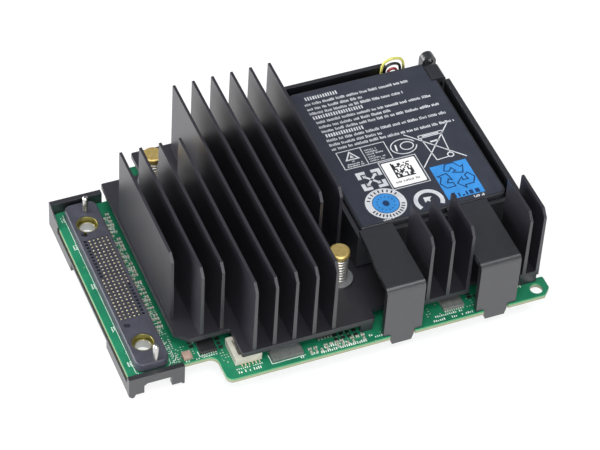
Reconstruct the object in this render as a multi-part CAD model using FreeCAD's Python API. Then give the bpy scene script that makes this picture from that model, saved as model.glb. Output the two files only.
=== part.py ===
import FreeCAD, Part
import math
import os
from FreeCAD import Vector

# RAID controller card: a mezzanine board with a finned heatsink and a backup
# battery in a clip-on cradle.  Millimetres, +X along the long edge, +Y towards
# the back edge, +Z up.  Everything is laid out from the board's front left
# corner on its top face, and put() moves each piece into the part's own frame,
# whose origin is the axis of the front bushing on the board's top face.

# ---- circuit board -------------------------------------------------------
BOARD_THICK = 1.57
TAB_FRONT = 9.5           # the narrow tab at the left that carries the connector
TAB_TAIL = 0.9            # the tab's back end beyond the connector's
TAB_STEP = 8.4            # from the heel's side to where the tab widens
HEEL_FROM_CONN = 4.4      # small back step that carries the heatsink's left heel
HEEL_STEP = 3.0
BACK_STEP = 7.6           # from the heel's back edge to the board's
EAR_REACH = 0.9           # the screw ear stands this far past the right edge
EAR_BACK = 6.6
EAR_CUT = 2.2             # its clipped front corner
EAR_RELIEF = 5.4          # length of the notch behind the ear
EAR_RELIEF_DEPTH = 1.8
EAR_HOLE_R = 1.85
EAR_HOLE_INSET = 3.6      # hole centre from the ear's right edge
EAR_HOLE_FRONT = 2.9

# ---- mezzanine connector -------------------------------------------------
CONN_LEFT = 2.7
CONN_WIDTH = 9.3
CONN_SETBACK = 0.7        # its front end lies this far behind the tab's front edge
CONN_LENGTH = 63.3
CONN_TALL = 3.0
CONN_CORNER_R = 2.2
CONN_BEVEL = 0.25
PIN_PITCH = 1.27
PIN_FIELD_BACK = 15.1     # centre of the last pin row from the body's back end
PIN_FIELD_FRONT = 17.6    # least distance from the first pin row to the body's front end
PIN_FIELD_LEFT = 1.55     # centre of the first pin column from the body's left side
PIN_FIELD_RIGHT = 1.0     # least distance from the last pin column to the right side
PIN_SIDE = 0.5
PIN_WELL = 0.9
PIN_WELL_DEEP = 0.8
PIN_BELOW_TOP = 0.05
PEG_R = 0.95
PEG_DEEP = 1.4
PEG_INSET = 0.75          # peg hole's centre from the first pin column
PEG_FROM_PINS = 2.75      # and from the nearest row

BUSHING_INSET = 4.3       # bushing axis from the connector's left side
BUSHING_FROM_FRONT = 7.85
BUSHING_FROM_BACK = 8.8
BUSHING_R = 3.15
BUSHING_BORE_R = 2.2
BUSHING_MOUTH_R = 2.8     # seat for the screw's shoulder
BUSHING_MOUTH_DEEP = 1.6
BUSHING_BELOW_TOP = 0.1
BUSHING_FIT = 0.05

GUIDE_OFFSET = 1.15       # guide pin axes to the right of the bushings'
GUIDE_FROM_FRONT = 1.0    # front guide pin axis from the connector's front end
GUIDE_FROM_BACK = 3.7     # back guide pin axis from the connector's back end
GUIDE_R = 0.85
GUIDE_ROOT_R = 0.6        # the stem pressed into the board is thinner
GUIDE_NECK = 0.1          # that stem shows this much above the connector
GUIDE_TIP = 0.6           # length of the pin's tapered tip
GUIDE_TALL = 5.7          # above the connector's top face
GUIDE_FIT = 0.03

# ---- plastic carrier under the tab ---------------------------------------
CARRIER_OUT = 0.6         # outer face beyond the board's left edge
CARRIER_FROM_CONN = 3.3   # its right end beyond the connector's right side
CARRIER_WALL = 1.6
CARRIER_GAP = 0.15        # between its end walls and the board's edges
CARRIER_SEAT = 0.03
CARRIER_RAIL = 0.9        # height of the thin rail below the board
CARRIER_LEDGE = 2.4       # width of that rail under the board
CARRIER_FRONT_TOP = 1.0
CARRIER_BACK_TOP = 3.4
CARRIER_FOOT = 3.7        # foot height below the board's underside
CARRIER_SPUR = 1.1        # pointed spur below the outer corner of each foot
CARRIER_TOE = 2.0         # width of the left foot's spur
CARRIER_LEFT_FOOT = 4.4
CARRIER_RIGHT_FOOT = 3.6
CARRIER_SIDE_BACK = 19.5
CARRIER_SIDE_FRONT = 18.6
CARRIER_CHEEK = 7.6       # sloping cheek above the board at the back left corner

# ---- chips and thermal pads ---------------------------------------------
PROCESSOR_FROM_LEFT = 27.8  # its middle from the heatsink plate's left edge
PROCESSOR_Y = 45.5
PROCESSOR_SIDE = 35.0
PROCESSOR_BASE = 1.3
PROCESSOR_LID_SIDE = 24.0
PROCESSOR_LID = 1.4
PROCESSOR_PAD = 0.3
MEMORY_WIDE = 9.0
MEMORY_LONG = 11.2
MEMORY_TALL = 1.15
MEMORY_PITCH_X = 16.0
MEMORY_PITCH_Y = 19.0
MEMORY_FROM_BATTERY = 3.6
MEMORY_FROM_STRAP = 6.7   # the bank under the arm, from the battery's front side
MEMORY_FRONT = 1.9        # the lone chip at the front edge
MEMORY_FROM_HEADER = 2.3
PAD_INSET = 0.6
PAD_SETBACK = 3.4

# ---- heatsink ------------------------------------------------------------
PLATE_THICK = 1.6
PLATE_FROM_CONN = 3.2     # its left edge from the connector's right side
PLATE_OVERHANG = 1.0      # its back edge beyond the board's
PLATE_FRONT = 3.9
PLATE_BAND_FRONT = 7.5    # front edge of the band behind the cradle's legs
PLATE_MID_FRONT = 13.5
PLATE_STEP = 15.0         # from its left edge to where it reaches the front
PLATE_NOSE = 3.6          # chamfer at the front left corner
PLATE_HEEL = 12.1         # from its left edge to the step at the back
PLATE_EDGE = 0.2          # plate margin beyond the last fin
PLATE_HEEL_GAP = 0.4      # plate's step from the board's
HEEL_MARGIN = 0.1
TONGUE_MARGIN = 0.4
TONGUE_STEP = 1.2         # step behind the pair by the ear
PAIR_MARGIN = 0.6
FIN_COUNT = 10
FIN_PITCH = 5.74
FIN_MARGIN = 1.25         # middle of the first fin from the plate's left edge
FIN_THICK = 1.1           # at its root
FIN_TIP = 0.8
FIN_TALL = 24.6
FIN_FROM_BACK = 2.0       # full fins stop this far from the plate's back edge
FIN_CUT_BACK = 20.5       # the first fins stop this much earlier
FIN_FROM_FRONT = 0.2
FIN_FROM_MID = 0.4
FIN_FROM_NOSE = 8.2       # the first fin's front end, from the same edge
FIN_CHAMFER_Y = 1.9
FIN_CHAMFER_Z = 2.3
SHORT_BACK_FINS = 4
SHORT_FRONT_FINS = 2
BOSS_R = 4.4
BOSS_TALL = 0.75
FOOT_LONG = 3.4
FOOT_WIDE = 3.6
FOOT_INSET = 0.5

ARM_FROM_BACK = 4.7       # wide arm of the plate that reaches under the battery
ARM_CLEAR = 0.7           # from the arm's side to the cradle's right wall
SMALL_FIN_TALL = 23.2
SMALL_FIN_FRONT = 5.2
SMALL_FIN_CLEAR = 2.4     # from their back ends to the cradle's front wall
SMALL_FIN_COUNT = 3
SMALL_FIN_FROM_LEG = 3.5  # first small fin from the left leg
SMALL_FIN_TO_LEG = 0.9    # last small fin from the right leg
PAIR_FIN_INSET = 6.0      # first fin of the pair from the board's right edge
PAIR_FIN_PITCH = 4.1

# ---- spring screws -------------------------------------------------------
SCREW_BACK_X = 12.75      # from the first fin's middle
SCREW_BACK_Y = 9.3        # behind the short fins
SCREW_FRONT_X = 3.5       # from the last fin's middle
SCREW_FRONT_Y = 20.8
SCREW_TO_FINS = 8.8       # from the front screw to the fins behind it
SCREW_HEAD_R = 2.9
SCREW_HEAD_TALL = 1.5
SCREW_HEAD_BEVEL = 0.3
SCREW_STAND = 11.4        # head's top above the plate
SCREW_SHANK_R = 1.25
SCREW_HOLE_FIT = 0.3
SPRING_WIRE_R = 0.3
SPRING_MEAN_R = 2.35
SPRING_PITCH = 1.2
SPRING_STEPS = 12         # straight pieces in one turn of the coil
WIRE_FACETS = 6           # a thin wire's section is a regular polygon
SPRING_SEAT = 0.02
NUT_FLATS = 4.8
NUT_TALL = 1.8
NUT_FIT = 0.02

# ---- battery and its cradle ---------------------------------------------
BATTERY_WIDE = 44.2
BATTERY_LONG = 56.4
BATTERY_TALL = 11.6
BATTERY_CORNER_R = 2.4
BATTERY_SHARP_R = 0.7     # the corner beside the first strap is nearly square
BATTERY_REST_DEEP = 1.9   # recess in the pack's back right corner for the latch finger
BATTERY_EDGE_R = 0.6
LABEL_INSET = 0.7
LABEL_THICK = 0.12
LABEL_CLEAR = 0.4         # from the label to the recess for the latch
STICKER_THICK = 0.08
STICKER_FROM_LEFT = 19.8  # its middle from the battery's left side
STICKER_FROM_FRONT = 16.6
STICKER_WIDE = 10.1
STICKER_LONG = 9.8
STICKER_R = 0.4

CRADLE_FROM_FINS = 2.24   # from the last fin to the cradle's left wall
CRADLE_LIFT = 0.6         # floor above the heatsink's plate
CRADLE_FLOOR = 1.2
CRADLE_WALL = 1.3
CRADLE_RIGHT_WALL = 1.5
CRADLE_SIDE_GAP = 0.2
CRADLE_RIGHT_GAP = 2.0
CRADLE_BACK_GAP = 3.1
CRADLE_BACK_OUT = 0.1     # back wall's outer face beyond the board's edge
CRADLE_BACK_END = 11.6    # the tall back wall stops this far from the battery's right side
CRADLE_BACK_START = 1.5
CRADLE_POCKET = 0.3       # floor behind the battery, where the leads pass
CRADLE_SIDE_LOW = 1.1     # left wall's top below the battery's
CRADLE_BACK_LOW = 0.7     # back wall's top below the battery's
STRAP_THICK = 1.6
STRAP_EDGE_R = 1.6
STRAP_LAP = 0.8           # first strap's side beyond the cradle's left wall
STRAP_FLARE = 1.5         # the first strap widens leftwards towards its leg
LEG_FRONT = 0.4
LEG_THICK = 1.7
LEG_LEFT_WIDE = 11.3
LEG_RIGHT_WIDE = 12.0
LEG_RIGHT_INSET = 22.3    # right leg's left side from the board's right edge
HOOK_WIDE = 7.0
HOOK_TAPER = 0.6
HOOK_DROP = 3.9
HOOK_REACH = 1.6
HOOK_FIT = 0.2
HOOK_UNDER = 0.12         # barb's catch below the board's underside
HOOK_CATCH = 0.5
BACK_LEG_FIRST = 9.6      # first back hook's middle from the battery's left side
BACK_LEG_PITCH = 15.0
LATCH_FROM_BACK = 7.6     # its front side from the battery's back side
LATCH_LONG = 5.9
LATCH_SLIT = 0.9          # gap in the right wall in front of the latch
LATCH_OVERLAP = 1.5
LATCH_GAP = 0.12
LATCH_INSET = 0.7
LATCH_BEVEL = 0.5
LOOP_LOW = 1.0            # middle of the eye below the battery's top
LOOP_R = 2.2
LOOP_BORE_R = 1.2
LOOP_THICK = 2.6
LOOP_FROM_RIGHT = 2.3
LOOP_FROM_BACK = 1.2
LOOP_LEDGE = 1.0

# ---- battery leads, plug and socket --------------------------------------
LEAD_R = 0.48
LEAD_STEP = 1.02
LEAD_FROM_RIGHT = 13.4    # first lead from the battery's right side
LEAD_START_LOW = 6.0      # where the leads leave the battery, below its top
LEAD_ARCH_R = 3.5
LEAD_ARCH_LOW = 0.6       # where the outer arch springs, below the battery's top
LEAD_BEND_R = 1.1
LEAD_RUN = 0.75           # straight run out of the battery
LEAD_IN_PLUG = 0.5
PLUG_TOP = 7.4
PLUG_NECK = 1.2
PLUG_LOW = 1.0
PLUG_WIDE = 5.2
PLUG_DEEP = 2.6
PLUG_FIT = 0.1
SOCKET_TALL = 3.0
SOCKET_WALL = 0.35

# ---- other parts on the board --------------------------------------------
HEADER_FROM_STEP = 3.6    # its left side from where the board widens
HEADER_FRONT = 4.1
HEADER_WIDE = 7.6
HEADER_LONG = 8.2
HEADER_CLEAR = 0.3        # its top below the heatsink's plate
HEADER_END_WALL = 1.3
HEADER_SIDE_WALL = 0.5
HEADER_FLOOR = 0.8
HEADER_PINS = 6
HEADER_PITCH = 1.0
HEADER_PIN_WIDE = 0.32
HEADER_PIN_LONG = 0.9
HEADER_PIN_THICK = 0.3
CHIP_BEVEL = 0.12
FLASH_FROM_FIN = 4.5
FLASH_FRONT = 3.4
FLASH_SIZE = (6.2, 5.0, 1.1)
LOGIC_FROM_CONN = 8.9
LOGIC_FRONT = 10.9
LOGIC_SIZE = (4.8, 4.4, 0.9)
REGULATOR_FROM_MEMORY = 5.1
REGULATOR_FRONT = 5.6
REGULATOR_SIZE = (5.0, 4.0, 0.9)
COIL_FROM_CONN = 3.9
COIL_FRONT = 10.4
COIL_SIZE = (2.5, 2.2, 1.5)
CAP_LONG = 1.0
CAP_WIDE = 0.55
CAP_TALL = 0.5
STRIP_FROM_CONN = 0.9     # first capacitor column from the connector's right side
STRIP_COLUMN = 1.35
STRIP_FROM_FRONT = 12.4   # first row from the connector's front end
STRIP_FROM_BACK = 3.1
STRIP_PITCH = 1.45
EDGE_FROM_MEMORY = 2.1
EDGE_FROM_LEG = 5.1
EDGE_PITCH = 1.55
EDGE_ROWS = (1.5, 2.9)
UNDER_PITCH = 2.6
UNDER_COUNT = 7

# ---- what follows from those sizes ---------------------------------------
BOARD_Z0 = -BOARD_THICK
CONN_RIGHT = CONN_LEFT + CONN_WIDTH
CONN_FRONT = TAB_FRONT + CONN_SETBACK
CONN_BACK = CONN_FRONT + CONN_LENGTH
TAB_BACK = CONN_BACK + TAB_TAIL
HEEL_X = CONN_RIGHT + HEEL_FROM_CONN
HEEL_BACK = TAB_BACK + HEEL_STEP
TAB_STEP_X = HEEL_X + TAB_STEP
BOARD_BACK = HEEL_BACK + BACK_STEP

PIN_ROWS = int((CONN_LENGTH - PIN_FIELD_BACK - PIN_FIELD_FRONT) / PIN_PITCH) + 1
PIN_COLS = int((CONN_WIDTH - PIN_FIELD_LEFT - PIN_FIELD_RIGHT) / PIN_PITCH) + 1
BUSHING_X = CONN_LEFT + BUSHING_INSET
BUSHINGS = [("front", CONN_FRONT + BUSHING_FROM_FRONT), ("back", CONN_BACK - BUSHING_FROM_BACK)]
GUIDE_X = BUSHING_X + GUIDE_OFFSET
GUIDES = [("front", CONN_FRONT + GUIDE_FROM_FRONT), ("back", CONN_BACK - GUIDE_FROM_BACK)]

PROCESSOR_LID_TOP = PROCESSOR_BASE + PROCESSOR_LID
PLATE_Z = PROCESSOR_LID_TOP + PROCESSOR_PAD
PLATE_TOP = PLATE_Z + PLATE_THICK
PLATE_LEFT = CONN_RIGHT + PLATE_FROM_CONN
PLATE_BACK = BOARD_BACK + PLATE_OVERHANG
FIN_FIRST = PLATE_LEFT + FIN_MARGIN
FIN_LAST = FIN_FIRST + (FIN_COUNT - 1) * FIN_PITCH
FIN_TOP = PLATE_TOP + FIN_TALL
FIN_BACK = PLATE_BACK - FIN_FROM_BACK
FIN_BACK_SHORT = FIN_BACK - FIN_CUT_BACK
FIN_FRONT_SHORT = SCREW_FRONT_Y + SCREW_TO_FINS
SMALL_FIN_TOP = PLATE_TOP + SMALL_FIN_TALL
SCREW_HEAD_TOP = PLATE_TOP + SCREW_STAND
SCREW_BACK = (FIN_FIRST + SCREW_BACK_X, FIN_BACK_SHORT + SCREW_BACK_Y)
SCREW_FRONT = (FIN_LAST - SCREW_FRONT_X, SCREW_FRONT_Y)
SCREWS = [("front", SCREW_FRONT), ("back", SCREW_BACK)]
PROCESSOR_CENTRE = (PLATE_LEFT + PROCESSOR_FROM_LEFT, PROCESSOR_Y)

CRADLE_LEFT = FIN_LAST + FIN_THICK / 2 + CRADLE_FROM_FINS
CRADLE_FLOOR_Z = PLATE_TOP + CRADLE_LIFT
CRADLE_BACK = BOARD_BACK + CRADLE_BACK_OUT
BATTERY_LEFT = CRADLE_LEFT + CRADLE_WALL + CRADLE_SIDE_GAP
BATTERY_RIGHT = BATTERY_LEFT + BATTERY_WIDE
BATTERY_BACK = CRADLE_BACK - CRADLE_WALL - CRADLE_BACK_GAP
BATTERY_FRONT = BATTERY_BACK - BATTERY_LONG
BATTERY_Z0 = CRADLE_FLOOR_Z + CRADLE_FLOOR
BATTERY_TOP = BATTERY_Z0 + BATTERY_TALL
CRADLE_RIGHT_IN = BATTERY_RIGHT + CRADLE_RIGHT_GAP
CRADLE_FRONT = BATTERY_FRONT - CRADLE_SIDE_GAP - CRADLE_WALL
LATCH_FRONT = BATTERY_BACK - LATCH_FROM_BACK
BOARD_RIGHT = CRADLE_RIGHT_IN + CRADLE_RIGHT_WALL
LEG_LEFT = CRADLE_LEFT - STRAP_LAP
LEG_RIGHT = BOARD_RIGHT - LEG_RIGHT_INSET
LEGS = [(LEG_LEFT, LEG_LEFT + LEG_LEFT_WIDE), (LEG_RIGHT, LEG_RIGHT + LEG_RIGHT_WIDE)]
BACK_HOOKS = [BATTERY_LEFT + BACK_LEG_FIRST, BATTERY_LEFT + BACK_LEG_FIRST + BACK_LEG_PITCH]

SMALL_FIN_FIRST = LEGS[0][1] + SMALL_FIN_FROM_LEG
SMALL_FIN_PITCH = (LEG_RIGHT - SMALL_FIN_TO_LEG - SMALL_FIN_FIRST) / (SMALL_FIN_COUNT - 1)
SMALL_FIN_BACK = CRADLE_FRONT - SMALL_FIN_CLEAR
PAIR_FIN_FIRST = BOARD_RIGHT - PAIR_FIN_INSET

HEADER_LEFT = TAB_STEP_X + HEADER_FROM_STEP
HEADER_TALL = PLATE_Z - HEADER_CLEAR
MEMORY_LEFT = HEADER_LEFT + HEADER_WIDE + MEMORY_FROM_HEADER
MEMORY_RIGHT = MEMORY_LEFT + MEMORY_WIDE
DATUM = Vector(-BUSHING_X, -BUSHINGS[0][1], 0)

os.makedirs("parts", exist_ok=True)


# ---- small builders ------------------------------------------------------
def box(x0, x1, y0, y1, z0, z1):
    return Part.makeBox(x1 - x0, y1 - y0, z1 - z0, Vector(x0, y0, z0))


def drum(x, y, z0, z1, r):
    return Part.makeCylinder(r, z1 - z0, Vector(x, y, z0))


def cone(x, y, z0, z1, r0, r1):
    return Part.makeCone(r0, r1, z1 - z0, Vector(x, y, z0))


def outline_wire(corners):
    """Closed flat wire through (x, y, radius) corners, each rounded by its radius."""
    count = len(corners)
    edges = []
    ends = []
    for i, (x, y, r) in enumerate(corners):
        here = Vector(x, y, 0)
        before = Vector(corners[i - 1][0], corners[i - 1][1], 0)
        after = Vector(corners[(i + 1) % count][0], corners[(i + 1) % count][1], 0)
        back = (before - here).normalize()
        ahead = (after - here).normalize()
        if r <= 0:
            ends.append((here, here))
            continue
        half = back.getAngle(ahead) / 2
        reach = r / math.tan(half)
        start = here + back * reach
        stop = here + ahead * reach
        middle = (back + ahead).normalize()
        centre = here + middle * (r / math.sin(half))
        crown = centre - middle * r
        edges.append(Part.Arc(start, crown, stop).toShape())
        ends.append((start, stop))
    for i in range(count):
        leave = ends[i][1]
        arrive = ends[(i + 1) % count][0]
        if leave.distanceToPoint(arrive) > 1e-6:
            edges.append(Part.makeLine(leave, arrive))
    return Part.Wire(Part.__sortEdges__(edges))


def slab(corners, z0, z1):
    face = Part.Face(outline_wire(corners))
    face.translate(Vector(0, 0, z0))
    return face.extrude(Vector(0, 0, z1 - z0))


def soft_box(x0, x1, y0, y1, z0, z1, r):
    return slab([(x0, y0, r), (x1, y0, r), (x1, y1, r), (x0, y1, r)], z0, z1)


def side_profile(points, axis, low, high):
    """Prism whose outline lies across X or Y and runs from low to high along it."""
    if axis == "x":
        corners = [Vector(low, a, b) for a, b in points]
        run = Vector(high - low, 0, 0)
    else:
        corners = [Vector(a, low, b) for a, b in points]
        run = Vector(0, high - low, 0)
    return Part.Face(Part.makePolygon(corners + corners[:1])).extrude(run)


def wire_section(x, y, z, r):
    """Upright section of a thin wire that sets off along Y."""
    angles = [2 * math.pi * k / WIRE_FACETS for k in range(WIRE_FACETS + 1)]
    return Part.Face(Part.makePolygon([Vector(x + r * math.cos(a), y, z + r * math.sin(a)) for a in angles]))


def fuse_all(shapes):
    whole = shapes[0].multiFuse(shapes[1:]) if len(shapes) > 1 else shapes[0]
    return whole.removeSplitter()


def put(name, shape):
    moved = shape.copy()
    moved.translate(DATUM)
    moved.exportStep("parts/" + name + ".step")


# ---- circuit board -------------------------------------------------------
def circuit_board():
    ear_right = BOARD_RIGHT + EAR_REACH
    relief_x = BOARD_RIGHT - EAR_RELIEF_DEPTH
    relief_back = EAR_BACK + EAR_RELIEF
    notch = LEG_FRONT + LEG_THICK + HOOK_FIT
    half = HOOK_WIDE / 2 + HOOK_FIT
    corners = [(0, TAB_FRONT, 0.6), (TAB_STEP_X, TAB_FRONT, 2.4), (TAB_STEP_X, 0, 2.0)]
    for low, high in LEGS:
        x = (low + high) / 2
        corners += [(x - half, 0, 0), (x - half, notch, 0), (x + half, notch, 0), (x + half, 0, 0)]
    corners += [(ear_right - EAR_CUT, 0, 0.5), (ear_right, EAR_CUT, 0.5), (ear_right, EAR_BACK, 0.6)]
    corners += [(relief_x, EAR_BACK, 0.5), (relief_x, relief_back, 0.5), (BOARD_RIGHT, relief_back, 0.5)]
    corners += [(BOARD_RIGHT, BOARD_BACK, 1.2)]
    deep = BOARD_BACK - notch
    for x in reversed(BACK_HOOKS):
        corners += [(x + half, BOARD_BACK, 0), (x + half, deep, 0), (x - half, deep, 0)]
        corners += [(x - half, BOARD_BACK, 0)]
    corners += [(TAB_STEP_X, BOARD_BACK, 1.5), (TAB_STEP_X, HEEL_BACK, 1.2), (HEEL_X, HEEL_BACK, 0.8)]
    corners += [(HEEL_X, TAB_BACK, 0.8), (0, TAB_BACK, 1.6)]
    board = slab(corners, BOARD_Z0, 0)
    holes = [through_board(BUSHING_X, y, BUSHING_R + BUSHING_FIT) for _, y in BUSHINGS]
    holes += [through_board(GUIDE_X, y, GUIDE_ROOT_R + GUIDE_FIT) for _, y in GUIDES]
    holes += [through_board(x, y, SCREW_SHANK_R + SCREW_HOLE_FIT) for _, (x, y) in SCREWS]
    holes.append(through_board(ear_right - EAR_HOLE_INSET, EAR_HOLE_FRONT, EAR_HOLE_R))
    return board.cut(Part.makeCompound(holes))


def through_board(x, y, r):
    return drum(x, y, BOARD_Z0 - BOARD_THICK, BOARD_THICK, r)


# ---- mezzanine connector -------------------------------------------------
def pin_sites():
    """Place of every contact in the rows of wells, with whether one is fitted there."""
    first_y = CONN_BACK - PIN_FIELD_BACK
    for row in range(PIN_ROWS):
        for col in range(PIN_COLS):
            x = CONN_LEFT + PIN_FIELD_LEFT + col * PIN_PITCH
            y = first_y - row * PIN_PITCH
            half = PIN_ROWS // 2
            filled = col > 0 if row < half else col < PIN_COLS - 1
            yield x, y, filled or half <= row < half + 3


def mezzanine_connector():
    body = soft_box(CONN_LEFT, CONN_RIGHT, CONN_FRONT, CONN_BACK, 0, CONN_TALL, CONN_CORNER_R)
    top_edges = [e for e in body.Edges if e.BoundBox.ZMin > CONN_TALL - 0.01]
    body = body.makeChamfer(CONN_BEVEL, top_edges)
    cuts = [drum(BUSHING_X, y, -1, CONN_TALL + 1, BUSHING_R + BUSHING_FIT) for _, y in BUSHINGS]
    cuts += [drum(GUIDE_X, y, -1, CONN_TALL + 1, GUIDE_ROOT_R + GUIDE_FIT) for _, y in GUIDES]
    first_y = CONN_BACK - PIN_FIELD_BACK
    first_x = CONN_LEFT + PIN_FIELD_LEFT
    last_y = first_y - (PIN_ROWS - 1) * PIN_PITCH
    for y in (first_y + PEG_FROM_PINS, last_y - PEG_FROM_PINS):
        cuts.append(drum(first_x + PEG_INSET, y, CONN_TALL - PEG_DEEP, CONN_TALL + 1, PEG_R))
    half = PIN_WELL / 2
    last_x = first_x + (PIN_COLS - 1) * PIN_PITCH
    well_z = CONN_TALL - PIN_WELL_DEEP
    for row in range(PIN_ROWS):
        y = first_y - row * PIN_PITCH
        cuts.append(box(first_x - half, last_x + half, y - half, y + half, well_z, CONN_TALL + 1))
    return body.cut(Part.makeCompound(cuts))


def connector_pins():
    half = PIN_SIDE / 2
    top = CONN_TALL - PIN_BELOW_TOP
    low = CONN_TALL - PIN_WELL_DEEP
    return Part.makeCompound([box(x - half, x + half, y - half, y + half, low, top)
                              for x, y, filled in pin_sites() if filled])


def bushing(y):
    z1 = CONN_TALL - BUSHING_BELOW_TOP
    sleeve = drum(BUSHING_X, y, BOARD_Z0, z1, BUSHING_R)
    bore = drum(BUSHING_X, y, BOARD_Z0 - 1, z1 + 1, BUSHING_BORE_R)
    mouth = drum(BUSHING_X, y, z1 - BUSHING_MOUTH_DEEP, z1 + 1, BUSHING_MOUTH_R)
    return sleeve.cut(bore).cut(mouth)


def guide_pin(y):
    tip = CONN_TALL + GUIDE_TALL
    shoulder = tip - GUIDE_TIP
    neck = CONN_TALL + GUIDE_NECK
    root = drum(GUIDE_X, y, BOARD_Z0, neck, GUIDE_ROOT_R)
    shank = drum(GUIDE_X, y, neck, shoulder, GUIDE_R)
    return fuse_all([root, shank, cone(GUIDE_X, y, shoulder, tip, GUIDE_R, GUIDE_R / 2)])


# ---- carrier -------------------------------------------------------------
def carrier_end(wall_y0, wall_y1, top, right):
    """End wall across the tab with its two feet, the arch between them and the spurs."""
    under = BOARD_Z0 - CARRIER_SEAT
    arch = under - 0.3
    sole = BOARD_Z0 - CARRIER_FOOT
    tip = sole - CARRIER_SPUR
    left = -CARRIER_OUT
    foot_l = left + CARRIER_LEFT_FOOT
    foot_r = right - CARRIER_RIGHT_FOOT
    toe = left + CARRIER_TOE
    points = [(left, top), (left, sole - 0.2), (left + 0.8, tip), (toe - 0.5, tip), (toe, sole)]
    points += [(foot_l, sole), (foot_l, arch - 0.7), (foot_l + 0.9, arch), (foot_r, arch), (foot_r, sole)]
    points += [(right - 0.9, sole), (right - 0.6, tip + 0.6), (right, tip + 0.6), (right, top)]
    return side_profile(points, "y", wall_y0, wall_y1)


def carrier_frame():
    under = BOARD_Z0 - CARRIER_SEAT
    rail_z = under - CARRIER_RAIL
    sole = BOARD_Z0 - CARRIER_FOOT
    left = -CARRIER_OUT
    front_y1 = TAB_FRONT - CARRIER_GAP
    front_y0 = front_y1 - CARRIER_WALL
    back_y0 = TAB_BACK + CARRIER_GAP
    back_y1 = back_y0 + CARRIER_WALL
    back_right = HEEL_X - CARRIER_GAP - CARRIER_WALL
    ledge = CARRIER_LEDGE
    ring = box(left, back_right, front_y1 - 0.5, back_y0 + 0.5, rail_z, under)
    window = box(left + ledge, back_right - ledge, front_y1 + ledge, back_y0 - ledge, rail_z - 1, under + 1)
    ring = ring.cut(window)
    side_x1 = left + CARRIER_WALL
    pieces = [ring]
    pieces.append(carrier_end(front_y0, front_y1, CARRIER_FRONT_TOP, CONN_RIGHT + CARRIER_FROM_CONN))
    pieces.append(carrier_end(back_y0, back_y1, CARRIER_BACK_TOP, back_right))
    pieces.append(box(left, side_x1, front_y0, front_y0 + CARRIER_SIDE_FRONT, sole, under))
    pieces.append(box(left, side_x1, back_y1 - CARRIER_SIDE_BACK, back_y1, sole, under))
    cheek = [(back_y1, sole), (back_y1, CARRIER_BACK_TOP), (back_y0, CARRIER_BACK_TOP)]
    cheek += [(back_y1 - CARRIER_CHEEK, 0.2), (back_y1 - CARRIER_CHEEK, rail_z), (back_y0, rail_z)]
    pieces.append(side_profile(cheek, "x", left, -CARRIER_GAP))
    nose_l = CONN_LEFT - CARRIER_GAP
    nose_r = CONN_RIGHT + CARRIER_GAP
    seat = box(nose_l, nose_r, CONN_FRONT - CARRIER_GAP, CONN_BACK, -CARRIER_SEAT, CONN_TALL)
    return fuse_all(pieces).cut(seat)


# ---- heatsink ------------------------------------------------------------
def fin_front(index):
    if index >= FIN_COUNT - SHORT_FRONT_FINS:
        return FIN_FRONT_SHORT
    if index == 0:
        return PLATE_MID_FRONT + FIN_FROM_NOSE
    if FIN_FIRST + index * FIN_PITCH < PLATE_LEFT + PLATE_STEP:
        return PLATE_MID_FRONT + FIN_FROM_MID
    return PLATE_FRONT + FIN_FROM_FRONT


def fin(x, y0, y1, top):
    """One upright fin, thinner at its tip, with its top front corner cut away."""
    root = FIN_THICK / 2
    tip = FIN_TIP / 2
    section = [(x - root, PLATE_Z), (x - root, PLATE_TOP), (x - tip, top)]
    section += [(x + tip, top), (x + root, PLATE_TOP), (x + root, PLATE_Z)]
    blade = side_profile(section, "y", y0, y1)
    corner = [(y0, top), (y0 + FIN_CHAMFER_Y, top), (y0, top - FIN_CHAMFER_Z)]
    return blade.cut(side_profile(corner, "x", x - root, x + root))


def plate_outline(right, pair_l):
    """Plate under the main fins, its wide arm under the battery and the two tongues under the small fins."""
    half = FIN_THICK / 2
    step_x = PLATE_LEFT + PLATE_STEP
    heel_x = PLATE_LEFT + PLATE_HEEL
    heel_y = HEEL_BACK - PLATE_HEEL_GAP
    arm_back = BATTERY_BACK - ARM_FROM_BACK
    arm_right = CRADLE_RIGHT_IN - ARM_CLEAR
    tab_l = SMALL_FIN_FIRST - half - TONGUE_MARGIN
    tab_r = SMALL_FIN_FIRST + (SMALL_FIN_COUNT - 1) * SMALL_FIN_PITCH + half
    pair_r = PAIR_FIN_FIRST + PAIR_FIN_PITCH + half
    step = SMALL_FIN_BACK + TONGUE_STEP
    band = PLATE_BAND_FRONT
    corners = [(PLATE_LEFT + PLATE_NOSE, PLATE_MID_FRONT, 0.5), (step_x, PLATE_MID_FRONT, 0.8)]
    corners += [(step_x, PLATE_FRONT, 0.6), (right, PLATE_FRONT, 0.6), (right, band, 1.0)]
    corners += [(tab_l, band, 1.0), (tab_l, SMALL_FIN_FRONT, 0.2), (tab_r, SMALL_FIN_FRONT, 0.2)]
    corners += [(tab_r, band, 1.0), (pair_l, band, 1.0), (pair_l, SMALL_FIN_FRONT, 0.2)]
    corners += [(pair_r, SMALL_FIN_FRONT, 0.2), (pair_r, step, 0.3), (arm_right, step, 0.3)]
    corners += [(arm_right, arm_back, 1.5), (right, arm_back, 1.5), (right, PLATE_BACK, 0.8)]
    corners += [(heel_x, PLATE_BACK, 0.6), (heel_x, heel_y, 0.8)]
    corners += [(PLATE_LEFT, heel_y, 0.5), (PLATE_LEFT, PLATE_MID_FRONT + PLATE_NOSE, 0.5)]
    return corners


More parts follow.
